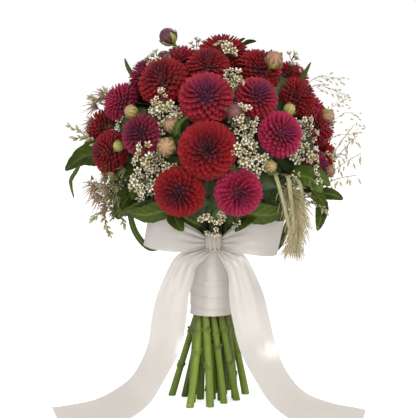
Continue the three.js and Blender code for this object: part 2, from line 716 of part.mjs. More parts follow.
// Leaves by the stalk that carries them: its place in the binding, its way, and each leaf's midrib,
// width and the side it spreads to
const LEAFY_STALKS = [
  {
    name: 'leaf_left',
    foot: -81,
    toothed: true,
    way: [[-52, 2, 258], [-92, 8, 302]],
    leaves: [
      {
        rib: [[-92, 8, 302], [-128, 0, 316], [-160, -8, 315], [-185, -14, 297]],
        width: 42,
        side: [0.15, -0.75, 0.65],
      },
    ],
  },
  {
    name: 'foliage_low_left',
    foot: -44,
    toothed: true,
    way: [[-34, -28, 246], [-46, -44, 253]],
    leaves: [
      {
        rib: [[-46, -44, 253], [-74, -72, 253], [-94, -86, 256], [-114, -96, 252]],
        width: 36,
        side: [0.5, -0.6, 0.6],
      },
      {
        rib: [[-40, -36, 250], [-78, -46, 254], [-104, -54, 252], [-128, -58, 238]],
        width: 30,
        side: [0.2, -0.9, 0.3],
      },
      {
        rib: [[-46, -44, 253], [-46, -74, 246], [-42, -94, 238], [-34, -112, 230]],
        width: 26,
        side: [1, 0, 0.3],
      },
    ],
  },
  {
    name: 'foliage_low_right',
    foot: 41,
    toothed: true,
    way: [[32, -30, 246], [44, -44, 253]],
    leaves: [
      {
        rib: [[44, -44, 253], [66, -68, 252], [84, -82, 252], [104, -90, 244]],
        width: 36,
        side: [-0.5, -0.5, 0.7],
      },
      {
        rib: [[36, -36, 250], [80, -44, 258], [112, -52, 272], [136, -58, 290]],
        width: 22,
        side: [0.1, -0.9, -0.3],
      },
      {
        rib: [[44, -44, 253], [46, -74, 244], [38, -94, 236], [26, -110, 228]],
        width: 24,
        side: [1, 0, 0.2],
      },
    ],
  },
  {
    name: 'leaf_sprig_right',
    foot: 71,
    toothed: false,
    way: [[60, -18, 240], [104, -32, 262], [132, -38, 268]],
    leaves: [
      {
        rib: [[132, -38, 268], [140, -42, 271], [152, -45, 269], [162, -46, 262]],
        width: 13,
        side: [0, -0.8, 0.6],
      },
      {
        rib: [[132, -38, 268], [137, -43, 256], [135, -47, 240], [131, -49, 225]],
        width: 13,
        side: [0.9, -0.3, 0],
      },
      {
        rib: [[104, -32, 262], [106, -42, 256], [110, -50, 246], [116, -54, 236]],
        width: 12,
        side: [0.9, 0.3, 0],
      },
    ],
  },
];

function leafyStalk(sprig) {
  const foot = heldFoot(sprig.foot);
  const start = foot[foot.length - 1];
  const way = sprig.way.map(at);
  const path = route([start, ...way], 5, THIN_STALK.radius);
  const blades = sprig.leaves.map(({ rib, width, side }) => {
    const [first, ...rest] = rib.map(at);
    const seat = path.slice().sort((a, b) => a.distanceTo(first) - b.distanceTo(first))[0];
    return leafBlade([seat, ...rest], width, at(side), sprig.toothed);
  });
  return join([thinStalk(foot, path), ...blades]);
}

// Long narrow blades that hook out from under the bow on each side
const LONG_BLADES = [
  {
    name: 'long_blade_left',
    foot: -106,
    way: [
      [-38, -8, 213], [-56, -10, 199], [-78, -14, 197],
      [-97, -17, 219], [-104, -18, 250], [-98, -20, 268],
    ],
  },
  {
    name: 'long_blade_right',
    foot: 105,
    way: [
      [38, -6, 213], [58, -8, 198], [80, -14, 196],
      [95, -18, 226], [107, -20, 262], [118, -24, 284],
    ],
  },
];
const BLADE = {
  half: 4.5,
  steps: 12,
  foot_share: 0.26,
  tip_share: 0.12,
  side: vec(0.1, -0.95, 0.2),
  bead: 2,
};

function longBlade({ foot, way }) {
  const held = heldFoot(foot);
  const curve = new THREE.CatmullRomCurve3([held[2], ...way.map(at)]);
  const across = BLADE.side.clone().normalize();
  const rows = [];
  for (let i = 0; i <= BLADE.steps; i += 1) {
    const share = i / BLADE.steps;
    const half = BLADE.half * Math.min(1, BLADE.foot_share + share * 3, BLADE.tip_share + (1 - share) * 2.4);
    const centre = curve.getPoint(share);
    rows.push([-1, 1].map((edge) => centre.clone().addScaledVector(across, edge * half)));
  }
  const path = rows.map(([a, b]) => a.clone().lerp(b, 0.5));
  addBeads([...held, ...path], BLADE.bead);
  return join([stalk(held, () => THIN_STALK.radius, THIN_STALK.sides), sheet(rows, BLADE_THICKNESS)]);
}

// A drooping feathery plume: barbs in a spiral along the hanging end of an arching stalk. The barbs start
// at a share of the stalk, cover a stretch of it, and are longest at their middle
const PLUME = {
  foot: 83,
  way: [[64, -22, 256], [84, -70, 282], [98, -100, 274], [104, -112, 244], [98, -112, 214]],
  barbs: 14,
  start: 0.62,
  stretch: 0.37,
  middle: 0.8,
  longest: 15,
  shortest: 9,
};
function plume() {
  const held = heldFoot(PLUME.foot);
  const path = route([held[2], ...PLUME.way.map(at)], 8, THIN_STALK.radius);
  const axis = thinStalk(held, path);
  const barbs = [];
  for (let i = 0; i < PLUME.barbs; i += 1) {
    const share = PLUME.start + (PLUME.stretch * i) / (PLUME.barbs - 1);
    const place = share * (path.length - 1);
    const step = Math.floor(place);
    const centre = path[step].clone().lerp(path[step + 1], place - step);
    const along = path[step + 1].clone().sub(path[step]).normalize();
    const turn = i * GOLDEN_TURN;
    const side = along.clone().cross(vec(0, -1, 0.2)).normalize();
    const other = along.clone().cross(side);
    const out = side.multiplyScalar(Math.cos(turn)).addScaledVector(other, Math.sin(turn));
    const fade = Math.abs(share - PLUME.middle) / (1 - PLUME.middle);
    const length = PLUME.longest - (PLUME.longest - PLUME.shortest) * fade;
    const tip = centre.clone().addScaledVector(out, length * 0.75).addScaledVector(along, length * 0.7);
    barbs.push(stalk([centre, tip], (t) => 0.3 + t, 3));
  }
  return join([axis, ...barbs]);
}

// Wispy oat grass at the right: forked hair stalks, each with hanging spikelets
const OATS = {
  foot: 134,
  trunk: [[58, 14, 234], [98, 20, 246], [126, 24, 262]],
  tips: [[182, -4, 290], [188, -6, 318], [184, 0, 340], [178, -24, 356]],
  first_fork: 4,
  hair: 0.6,
  arch: 6,
  spikelets: 2,
  spikelet_radii: [0.4, 1.7, 0.4],
};
function oatSpray() {
  const held = heldFoot(OATS.foot);
  const trunk = route([held[2], ...OATS.trunk.map(at)], 8, THIN_STALK.radius);
  const solids = [thinStalk(held, trunk)];
  OATS.tips.map(at).forEach((tip, k) => {
    const start = trunk[OATS.first_fork + k];
    const way = route([start, start.clone().lerp(tip, 0.5).addScaledVector(UP, OATS.arch), tip], 4, 0.8);
    solids.push(stalk(way, () => OATS.hair, 3));
    for (let s = 0; s < OATS.spikelets; s += 1) {
      const base = way[3 + s];
      const drop = vec(4 * (scatter(k * 5 + s) - 0.2), -3 * scatter(k + s), -9);
      const seed = [base, base.clone().addScaledVector(drop, 0.45), base.clone().add(drop)];
      solids.push(stalk(seed, (share) => OATS.spikelet_radii[Math.round(share * 2)], 3));
    }
  });
  return join(solids);
}

// The ribbon wound round the binding: overlapping turns, each standing out over the one below it
const WINDING = { edges: [132, 146, 164, 178], taper: 1.1, tucked: 0.3, proud: 0.1 };
function windingSolid() {
  const edges = [BINDING.low, ...WINDING.edges, BINDING.high];
  const profile = [new THREE.Vector2(BINDING.wrap, BINDING.high)];
  const outside = (height) => (
    BINDING.skirt - WINDING.taper * ((height - BINDING.low) / (BINDING.high - BINDING.low))
  );
  for (let k = edges.length - 1; k > 0; k -= 1) {
    const step = k === edges.length - 1 ? 0 : RIBBON_THICKNESS;
    profile.push(new THREE.Vector2(outside(edges[k]) - WINDING.tucked, edges[k] - step));
    profile.push(new THREE.Vector2(outside(edges[k - 1]) + WINDING.proud, edges[k - 1]));
  }
  profile.push(new THREE.Vector2(BINDING.wrap, BINDING.low));
  profile.push(profile[0].clone());
  return new THREE.LatheGeometry(profile.reverse(), BINDING.facets).rotateX(Math.PI / 2);
}

function tapeSolid() {
  const inner = TAPE.radius;
  const outer = TAPE.radius + TAPE.thickness;
  const profile = [
    [inner, TAPE.low], [outer, TAPE.low], [outer, TAPE.high], [inner, TAPE.high], [inner, TAPE.low],
  ].map(([r, z]) => new THREE.Vector2(r, z));
  return new THREE.LatheGeometry(profile, BINDING.facets).rotateX(Math.PI / 2);
}

// The pleated band across the middle of the bow: its rings by distance from its middle, depth and height
const KNOT = { x: 1.8, y: -33.1, z: 210, corners: 12, crease: 0.9 };
const KNOT_RINGS = [[-10.6, 4.4, 8.2], [-7.5, 6.6, 11], [0, 7.3, 11.8], [7.5, 6.6, 11], [10.6, 4.4, 8.2]];
function knotSolid() {
  const count = KNOT.corners;
  const points = KNOT_RINGS.flatMap(([x, depth, height]) => Array.from({ length: count }, (_, k) => {
    const turn = (2 * Math.PI * k) / count;
    const pleat = k % 2 === 0 ? 1 : KNOT.crease;
    return vec(KNOT.x + x, KNOT.y - depth * pleat * Math.cos(turn), KNOT.z + height * pleat * Math.sin(turn));
  }));
  const faces = [];
  for (let i = 0; i < KNOT_RINGS.length - 1; i += 1) {
    for (let k = 0; k < count; k += 1) {
      const a = i * count + k;
      const b = i * count + ((k + 1) % count);
      faces.push([a, b, b + count], [a, b + count, a + count]);
    }
  }
  const end = (KNOT_RINGS.length - 1) * count;
  for (let k = 1; k < count - 1; k += 1) faces.push([0, k + 1, k], [end, end + k, end + k + 1]);
  return solidFrom(points, faces);
}

// A bow loop: ribbon that leaves the knot, turns at its outer fold and comes back behind itself. Its stations
// give the middle's x and y, the height of both edges, and how far the upper edge leans out
const RIBBON_COLUMNS = 3;
const RIBBON_SHARES = Array.from({ length: RIBBON_COLUMNS + 1 }, (_, j) => j / RIBBON_COLUMNS);
const LOOP_BILLOW = 2.5;
function bowLoop(stations) {
  const rows = stations.map(([x, y, low, high, lean]) => RIBBON_SHARES.map((share) => {
    const billow = Math.sin(Math.PI * share) * LOOP_BILLOW;
    return vec(x + lean * (share - 0.5), y - billow, low + (high - low) * share);
  }));
  return sheet(rows, RIBBON_THICKNESS);
}

const LOOP_LEFT = [
  [-9.2, -36.6, 203, 217, 0], [-24, -46, 199, 229, 0], [-48, -53, 199, 242, 2], [-70, -54, 200, 243, 6],
  [-79, -50, 202, 242, 8], [-82, -44, 203, 241, 9], [-79, -38, 203, 240, 8], [-66, -35, 202, 239, 5],
  [-44, -34, 202, 236, 1], [-22, -33.4, 203, 226, 0], [-9.2, -33, 204, 216, 0],
];
const LOOP_RIGHT = [
  [12.8, -36.6, 203, 217, 0], [28, -46, 198, 230, 0], [50, -52, 195, 238, 3], [72, -54, 193, 240, 9],
  [82, -50, 193, 240, 12], [86, -44, 194, 240, 13], [82, -38, 195, 239, 12], [68, -35, 197, 238, 8],
  [46, -34, 199, 235, 2], [26, -33.4, 202, 226, 0], [12.8, -33, 204, 216, 0],
];

// The tails by their two edges, from under the knot down to the surface and out along it
const TAIL_LEFT = [
  [[-5.5, -34, 199], [3, -34, 199]],
  [[-28, -42, 193], [-9, -41, 188]],
  [[-44, -47, 186], [-20, -45, 180]],
  [[-61, -50, 164], [-23.5, -48, 164]],
  [[-70, -54, 139], [-29, -53, 144]],
  [[-75, -60, 116], [-32.5, -62, 114]],
  [[-80, -70, 84], [-39, -77, 82]],
  [[-95, -86, 54], [-60, -104, 46]],
  [[-114, -99, 38], [-78, -125, 22]],
  [[-142, -122, 28], [-108, -150, 7]],
  [[-178, -146, 26], [-150, -176, 1.6]],
  [[-192, -153, 26], [-172, -192, 1.2]],
];
const TAIL_RIGHT = [
  [[9.8, -34, 199], [4.2, -34, 199]],
  [[27, -41, 193], [11.5, -40, 187]],
  [[40, -45, 184], [20, -44, 169]],
  [[62, -50, 152], [24, -50, 144]],
  [[70, -56, 124], [27, -56, 122]],
  [[78, -68, 86], [36, -72, 78]],
  [[91, -84, 57], [55, -100, 44]],
  [[112, -106, 35], [76, -130, 20]],
  [[142, -130, 27], [108, -160, 6]],
  [[172, -150, 25], [146, -182, 1.4]],
  [[184, -158, 24], [168, -196, 1.2]],
];

// A tail bulges toward the viewer along its middle, and lies flat over its last steps
const TAIL = { steps: 14, bulge: 3.2, flat_steps: 6 };
function tailSolid(edges) {
  const curves = [0, 1].map((side) => new THREE.CatmullRomCurve3(edges.map((pair) => at(pair[side]))));
  const rows = [];
  for (let i = 0; i <= TAIL.steps; i += 1) {
    const [outer, inner] = curves.map((curve) => curve.getPoint(i / TAIL.steps));
    const bulge = TAIL.bulge * Math.min(1, (TAIL.steps - i) / TAIL.flat_steps);
    rows.push(RIBBON_SHARES.map((share) => (
      outer.clone().lerp(inner, share).add(vec(0, -bulge * Math.sin(Math.PI * share), 0))
    )));
  }
  return sheet(rows, RIBBON_THICKNESS);
}

// Meshes
const bouquet = new THREE.Group();

function geometryOf(solid) {
  const mesh = solid.getMesh();
  const geometry = new THREE.BufferGeometry();
  geometry.setAttribute('position', new THREE.BufferAttribute(mesh.vertProperties, 3));
  geometry.setIndex(new THREE.BufferAttribute(mesh.triVerts, 1));
  return geometry;
}

function latheMesh(geometry) {
  return mergeVertices(bare(geometry), MERGE_REACH);
}

function addPiece(name, geometry, skin) {
  const { color, roughness } = SKINS[skin];
  const mesh = new THREE.Mesh(geometry, new THREE.MeshStandardMaterial({ color, roughness, metalness: 0 }));
  mesh.name = name;
  bouquet.add(mesh);
}

blooms.forEach((bloom) => {
  const spin = scatter(bloom.index + 1) * Math.PI * 2;
  const solid = bloomSolid(bloom.radius, bloom.index, placement(bloom.centre, bloom.facing, spin));
  addPiece(`bloom_${String(bloom.index + 1).padStart(2, '0')}`, geometryOf(solid), `dahlia_${bloom.colour}`);
});

// The middle stem is straight up to the top bloom
const middleHead = climbTo(vec(0, 0, BUNDLE.neck), UP, blooms[0], 3, STEM.top);
const middlePath = [vec(0, 0, 0), vec(0, 0, BUNDLE.waist), ...middleHead];
addBeads(middleHead, STEM.top + 0.4);
const middleRadius = (share) => (share < STEM_SHARES.middle ? STEM.plain : STEM.top);
const middleEnds = { levelFoot: true, endAlong: blooms[0].facing };
addPiece('stem_middle', geometryOf(stalk(middlePath, middleRadius, STEM.sides, middleEnds)), 'green_stem');
Object.entries(GROUPS).forEach(([name, group]) => {
  addPiece(name, geometryOf(stemGroup(group)), 'green_stem');
});

addPiece('binding_tape', latheMesh(tapeSolid()), 'binding_tape');
addPiece('ribbon_winding', latheMesh(windingSolid()), 'satin_ribbon');
addPiece('bow_knot', geometryOf(knotSolid()), 'satin_ribbon');
addPiece('bow_loop_left', geometryOf(bowLoop(LOOP_LEFT)), 'satin_ribbon');
addPiece('bow_loop_right', geometryOf(bowLoop(LOOP_RIGHT)), 'satin_ribbon');
addPiece('bow_tail_left', geometryOf(tailSolid(TAIL_LEFT)), 'satin_ribbon');
addPiece('bow_tail_right', geometryOf(tailSolid(TAIL_RIGHT)), 'satin_ribbon');

WAX_SPRAYS.forEach((spray) => addPiece(spray.name, geometryOf(waxSpray(spray)), 'wax_flower'));
LEAFY_STALKS.forEach((sprig) => addPiece(sprig.name, geometryOf(leafyStalk(sprig)), 'leaf'));
LONG_BLADES.forEach((blade) => addPiece(blade.name, geometryOf(longBlade(blade)), 'leaf'));
addPiece('buff_plume', geometryOf(plume()), 'dry_grass');
addPiece('oat_spray', geometryOf(oatSpray()), 'dry_grass');

export default bouquet;
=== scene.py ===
import json
import math

import bmesh
import bpy
from mathutils import Matrix, Quaternion, Vector, noise
from mathutils.kdtree import KDTree


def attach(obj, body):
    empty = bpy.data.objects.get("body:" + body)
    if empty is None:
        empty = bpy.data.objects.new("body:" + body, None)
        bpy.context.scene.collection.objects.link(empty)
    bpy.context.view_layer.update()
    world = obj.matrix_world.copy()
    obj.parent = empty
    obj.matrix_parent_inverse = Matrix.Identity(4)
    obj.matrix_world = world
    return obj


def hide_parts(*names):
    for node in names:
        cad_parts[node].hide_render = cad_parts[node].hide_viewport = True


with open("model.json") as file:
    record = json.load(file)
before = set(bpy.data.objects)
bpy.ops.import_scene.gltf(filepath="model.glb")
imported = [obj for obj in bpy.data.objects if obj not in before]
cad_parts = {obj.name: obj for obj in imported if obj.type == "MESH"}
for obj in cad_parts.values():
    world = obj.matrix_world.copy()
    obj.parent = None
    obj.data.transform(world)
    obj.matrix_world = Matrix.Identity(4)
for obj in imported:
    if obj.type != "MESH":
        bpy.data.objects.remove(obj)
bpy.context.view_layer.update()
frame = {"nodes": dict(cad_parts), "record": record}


# Bundle of stems
# Nineteen fresh dahlia stems, spiralled to cross in the binding and cut level to stand on. Below the ribbon
# they show node rings, leaf scars and hollow cut ends; above it each climbs to the back of its bloom.

MM = 0.001
UP = Vector((0, 0, 1))
BUNDLE = {"middle": -1.2, "inner": 9.5, "outer": 17.5, "gather": 117, "waist": 140, "joint": 153,
          "hidden": 156, "middle_draw": 5, "group_draw": 11}
STEM = {"cut": 4.9, "plain": 4.35, "flare": 40, "bevel": 0.35, "wall": 1.5, "hollow": 6, "sides": 14,
        "step": 7, "sway": 4, "bark_from": 84, "bark_over": 30}
NODE_RING = {"swell": 0.36, "reach": 2.2, "scar": 2.3, "stub": 3.4,
             "steps": (-4.6, -2.8, -1.4, -0.2, 1.2, 2.8, 4.6)}
STEM_GROUPS = {
    "stems_right": (105, [(100, 30), (124, 53), (159, 58), (186, 46), (150, 31), (176, 34)]),
    "stems_back": (225, [(210, 55), (228, 44), (248, 56), (305, 31), (214, 32), (247, 38)]),
    "stems_front": (345, [(329, 54), (357, 43), (33, 28), (80, 32), (270, 15), (60, 14)]),
}
HELD_AT = [(-43.4, "outer"), (-14.5, "outer"), (14.5, "outer"), (43.4, "outer"),
           (-24.5, "inner"), (24.5, "inner")]
# Painted light: stems whose feet stand at the front, where the light falls, get a brighter green.
LIT_FRONT_FEET = (-40, 45)


def mm(x, y, z):
    return Vector((x, y, z)) * MM


def chance(number):
    """The same draw for the same number, from 0 to 1."""
    wave = math.sin(number * 127.1 + 311.7) * 43758.5453
    return wave - math.floor(wave)


def ring_point(azimuth, radius, height):
    """A point round the bundle, in metres, by its azimuth from the front toward the right."""
    turn = math.radians(azimuth)
    return mm(radius * math.sin(turn), -radius * math.cos(turn), height)


def mesh_layers(bm):
    """What the finishes read at each point: a tone, a mark, and its place along and across."""
    return {name: bm.verts.layers.float.get(name) or bm.verts.layers.float.new(name)
            for name in ("tone", "mark", "along", "across")}


def extrude_ring(bm, edges):
    """Extrudes a closed row of edges, and returns the new corners and edges."""
    grown = bmesh.ops.extrude_edge_only(bm, edges=edges)["geom"]
    corners = [part for part in grown if isinstance(part, bmesh.types.BMVert)]
    return corners, [part for part in grown if isinstance(part, bmesh.types.BMEdge) and part.is_boundary]


def grow_stalk(bm, path, radius_at, sides, tone=0.5, level_foot=False):
    """Extrudes a ring of corners along a path, and returns the stalk's corners and its foot face."""
    layers = mesh_layers(bm)
    last = len(path) - 1
    ring = foot = bmesh.ops.create_circle(bm, segments=sides, radius=1.0)["verts"]
    edges = list(dict.fromkeys(edge for corner in ring for edge in corner.link_edges))
    made = []
    turn = UP.rotation_difference((path[1] - path[0]).normalized())
    seat = Matrix.Identity(4)
    for i, centre in enumerate(path):
        ahead = (path[min(i + 1, last)] - path[max(i - 1, 0)]).normalized()
        if i:
            turn = (turn @ UP).rotation_difference(ahead) @ turn
            ring, edges = extrude_ring(bm, edges)
        wide = radius_at(i / last)
        place = Matrix.Translation(centre) @ turn.to_matrix().to_4x4() @ Matrix.Scale(wide, 4)
        bmesh.ops.transform(bm, matrix=place @ seat.inverted(), verts=ring)
        seat = place
        for corner in ring:
            if i == 0 and level_foot:
                corner.co += ahead * (centre.z - corner.co.z) / ahead.z
            corner[layers["tone"]] = tone
            corner[layers["along"]] = i / last
        made.extend(ring)
    cap = bmesh.ops.contextual_create(bm, geom=foot)["faces"]
    bmesh.ops.contextual_create(bm, geom=ring)
    return made, cap


def stem_stations(nodes):
    """Heights of a stem's rings, closer together at its node rings."""
    top = BUNDLE["hidden"]
    count = int(top / STEM["step"])
    heights = {0.0, 2 * STEM["bevel"], top}
    heights.update(top * i / count for i in range(1, count))
    heights.update(node + step for node in nodes for step in NODE_RING["steps"])
    return sorted(height for height in heights if 0 <= height <= top)


def grow_bound_stem(bm, foot, held_azimuth, ring, number):
    """One stem from its cut end up into the binding."""
    layers = mesh_layers(bm)
    nodes = [26 + 52 * chance(number * 3.7), 84 + 14 * chance(number * 5.3)]
    line = [ring_point(*foot, 0), ring_point(held_azimuth + 4, ring + 1.2, BUNDLE["gather"]),
            ring_point(held_azimuth, ring, BUNDLE["waist"]), ring_point(held_azimuth, ring, BUNDLE["hidden"])]
    sway = Vector((chance(number * 7.1) - 0.5, chance(number * 9.7) - 0.5, 0)) * STEM["sway"] * MM
    stations = stem_stations(nodes)
    size = 0.94 + 0.14 * chance(number * 2.9)

    def centre_at(height):
        for low, high in zip(line, line[1:]):
            if height * MM <= high.z:
                share = (height * MM - low.z) / (high.z - low.z)
                bow = math.sin(math.pi * min(height / BUNDLE["gather"], 1.0))
                return low.lerp(high, share) + sway * bow
        return line[-1]

    def radius_at(share):
        height = stations[round(share * (len(stations) - 1))]
        wide = STEM["plain"] + (STEM["cut"] - STEM["plain"]) * max(0.0, 1 - height / STEM["flare"])
        if height == 0:
            wide -= STEM["bevel"]
        for node in nodes:
            wide *= 1 + NODE_RING["swell"] * math.exp(-(((height - node) / NODE_RING["reach"]) ** 2))
        return wide * size * MM

    tone = 0.15 + 0.7 * chance(number * 4.3)
    # Painted light: a stem at the front is given a brighter green, as if lit.
    if LIT_FRONT_FEET[0] < (foot[0] + 180) % 360 - 180 < LIT_FRONT_FEET[1]:
        tone = 0.75 + 0.25 * chance(number)
    path = [centre_at(height) for height in stations]
    made, cap = grow_stalk(bm, path, radius_at, STEM["sides"], tone, level_foot=True)
    wall = bmesh.ops.inset_region(bm, faces=cap, thickness=STEM["wall"] * MM, use_even_offset=True)["faces"]
    for corner in {corner for face in wall for corner in face.verts}:
        corner[layers["mark"]] = -1.0
    bmesh.ops.translate(bm, verts=cap[0].verts, vec=(0, 0, STEM["hollow"] * MM))
    for corner in made:
        height = corner.co.z / MM
        scar = max(math.exp(-(((height - node - 1) / NODE_RING["reach"]) ** 2)) for node in nodes)
        bark = max(0.0, (height - STEM["bark_from"]) / STEM["bark_over"]) * (0.4 + chance(number * 1.7))
        corner[layers["mark"]] = max(scar, min(bark, 1.0)) if height > 0.5 else -1.0
    for k, node in enumerate(nodes):
        for side in (0, math.pi):
            turn = side + math.pi * chance(number * 6.1 + k)
            out = Vector((math.cos(turn), math.sin(turn), 0.75)).normalized()
            start = centre_at(node) + out * STEM["plain"] * 0.6 * MM
            length = (STEM["plain"] + NODE_RING["stub"] * chance(number + k + side)) * MM * 0.75
            stub = [start, start + out * length * 0.6, start + out * length]
            corners, _ = grow_stalk(bm, stub, lambda share: NODE_RING["scar"] * (1 - 0.3 * share) * MM,
                                    8, tone)
            for corner in corners:
                corner[layers["mark"]] = 0.4 + 0.6 * corner[layers["along"]]


def merged_copy(node):
    """A copy of a node's mesh with its doubles merged."""
    bm = bmesh.new()
    bm.from_mesh(frame["nodes"][node].data)
    bmesh.ops.remove_doubles(bm, verts=bm.verts, dist=0.01 * MM)
    return bm


def stored_mesh(bm, name):
    """Ends the modelling of a mesh and keeps it as data."""
    mesh = bpy.data.meshes.new(name)
    bm.to_mesh(mesh)
    bm.free()
    return mesh


def finished(bm, name, material, node=None, sharp=60):
    """Turns a mesh into a piece of the bouquet, and hides the node it takes the place of if one is named."""
    bmesh.ops.recalc_face_normals(bm, faces=bm.faces)
    for face in bm.faces:
        face.smooth = True
    mesh = stored_mesh(bm, name)
    mesh.set_sharp_from_angle(angle=math.radians(sharp))
    mesh.materials.append(material)
    piece = bpy.data.objects.new(name, mesh)
    bpy.context.scene.collection.objects.link(piece)
    if node:
        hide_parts(node)
    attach(piece, "root")
    return piece


def paint(red, green, blue):
    """A colour given as it looks on a screen, from 0 to 255, as the shader takes it."""
    def linear(value):
        value /= 255
        return value / 12.92 if value <= 0.04045 else ((value + 0.055) / 1.055) ** 2.4
    return (linear(red), linear(green), linear(blue), 1.0)


def add_node(tree, kind, inputs=None, **settings):
    """A shader node with its settings, and with its sockets set or linked."""
    made = tree.nodes.new("ShaderNode" + kind)
    for name, value in settings.items():
        setattr(made, name, value)
    for socket, value in (inputs or {}).items():
        if isinstance(value, bpy.types.NodeSocket):
            tree.links.new(value, made.inputs[socket])
        else:
            made.inputs[socket].default_value = value
    return made


def attribute(tree, name):
    return add_node(tree, "Attribute", attribute_name=name).outputs["Fac"]


def blend_colours(tree, factor, first, second, kind="MIX"):
    made = add_node(tree, "Mix", {0: factor, 6: first, 7: second}, data_type="RGBA", blend_type=kind)
    return made.outputs[2]


def sum_up(tree, kind, first, second=0.0, third=0.0):
    return add_node(tree, "Math", {0: first, 1: second, 2: third}, operation=kind).outputs[0]


def object_noise(tree, scale, detail=3.0, stretch=(1, 1, 1)):
    place = add_node(tree, "TexCoord").outputs["Object"]
    fitted = add_node(tree, "Mapping", {"Vector": place, "Scale": stretch}).outputs["Vector"]
    return add_node(tree, "TexNoise", {"Vector": fitted, "Scale": scale, "Detail": detail}).outputs["Fac"]


def new_group(name, colours, numbers=()):
    """A shader node group that puts out a colour and a height."""
    group = bpy.data.node_groups.new(name, "ShaderNodeTree")
    for kind, names in (("NodeSocketColor", colours), ("NodeSocketFloat", numbers)):
        for socket in names:
            group.interface.new_socket(socket, in_out="INPUT", socket_type=kind)
    group.interface.new_socket("Color", in_out="OUTPUT", socket_type="NodeSocketColor")
    group.interface.new_socket("Height", in_out="OUTPUT", socket_type="NodeSocketFloat")
    return group, group.nodes.new("NodeGroupInput").outputs, group.nodes.new("NodeGroupOutput").inputs


def finish_material(name, group, inputs, roughness, bump, depth, sheen=0.0, specular=0.5, flesh=0.0):
    """A material that takes its colour and relief, of a depth in millimetres, from a node group."""
    material = bpy.data.materials.new(name)
    material.use_nodes = True
    tree = material.node_tree
    shader = tree.nodes["Principled BSDF"]
    shades = tree.nodes.new("ShaderNodeGroup")
    shades.node_tree = group
    for socket, value in inputs.items():
        shades.inputs[socket].default_value = paint(*value) if isinstance(value, tuple) else value
    relief = add_node(tree, "Bump", {"Strength": bump, "Distance": depth * MM,
                                     "Height": shades.outputs["Height"]})
    tree.links.new(shades.outputs["Color"], shader.inputs["Base Color"])
    tree.links.new(relief.outputs["Normal"], shader.inputs["Normal"])
    shader.inputs["Roughness"].default_value = roughness
    shader.inputs["Specular IOR Level"].default_value = specular
    shader.inputs["Sheen Weight"].default_value = sheen
    if flesh:
        shader.inputs["Subsurface Weight"].default_value = flesh
        shader.inputs["Subsurface Radius"].default_value = (1.0, 0.35, 0.3)
        shader.inputs["Subsurface Scale"].default_value = 3 * MM
    return material


def stem_shades():
    """Green skin that runs from dark to bright by stem, brown at scars, pale at a cut."""
    tree, given, result = new_group("Stem Shades", ["Dark", "Bright", "Scar", "Pith"])
    streaks = object_noise(tree, 90, 4, (3, 3, 0.35))
    mottle = object_noise(tree, 45, 3)
    tone = sum_up(tree, "MULTIPLY_ADD", streaks, 0.7, sum_up(tree, "SUBTRACT", attribute(tree, "tone"), 0.35))
    skin = blend_colours(tree, tone, given["Dark"], given["Bright"])
    wear_and_shade = sum_up(tree, "MULTIPLY", attribute(tree, "mark"), sum_up(tree, "MULTIPLY_ADD", mottle, 1.9, -0.45))
    worn_skin = blend_colours(tree, wear_and_shade, skin, given["Scar"])
    cut = sum_up(tree, "LESS_THAN", attribute(tree, "mark"), -0.3)
    tree.links.new(blend_colours(tree, cut, worn_skin, given["Pith"]), result["Color"])
    tree.links.new(streaks, result["Height"])
    return tree


fresh_stem = finish_material("fresh_stem", stem_shades(), {
    "Dark": (48, 66, 20), "Bright": (140, 166, 58), "Scar": (92, 66, 44), "Pith": (186, 196, 130)},
    0.42, 0.25, 0.4)


def forks_of(node):
    """The forks that climb from the binding, closed where the solid's bound stems are cut away."""
    bm = merged_copy(node)
    bmesh.ops.bisect_plane(bm, geom=bm.verts[:] + bm.edges[:] + bm.faces[:], dist=0.001 * MM,
                           plane_co=mm(0, 0, BUNDLE["joint"]), plane_no=UP, clear_inner=True)
    bmesh.ops.holes_fill(bm, edges=[edge for edge in bm.edges if edge.is_boundary], sides=0)
    return bm


for order, (node, (group_azimuth, feet)) in enumerate(STEM_GROUPS.items()):
    group_bm = forks_of(node)
    layers = mesh_layers(group_bm)
    # Painted shade: the forks under and inside the head get a darker green than the bound stems, and a little
    # scar brown.
    for corner in group_bm.verts:
        corner[layers["tone"]] = 0.25 + 0.3 * noise.noise(corner.co * 25)
        corner[layers["mark"]] = 0.35
    for k, (foot, (offset, ring)) in enumerate(zip(feet, HELD_AT)):
        draw = BUNDLE["group_draw"] + len(HELD_AT) * order + k
        grow_bound_stem(group_bm, foot, group_azimuth + offset, BUNDLE[ring], draw)
    finished(group_bm, node + "_fresh", fresh_stem, node, sharp=40)
middle_bm = forks_of("stem_middle")
grow_bound_stem(middle_bm, (0, 0), 0, BUNDLE["middle"], BUNDLE["middle_draw"])
finished(middle_bm, "stem_middle_fresh", fresh_stem, "stem_middle", sharp=40)


# Dahlia blooms
# Ball and decorative dahlias. Each is a head of folded, cupped petals in spirals over a small core, the
# outer ones long and bent back, the heart's tight and upright; it sits on its stem by a green calyx.

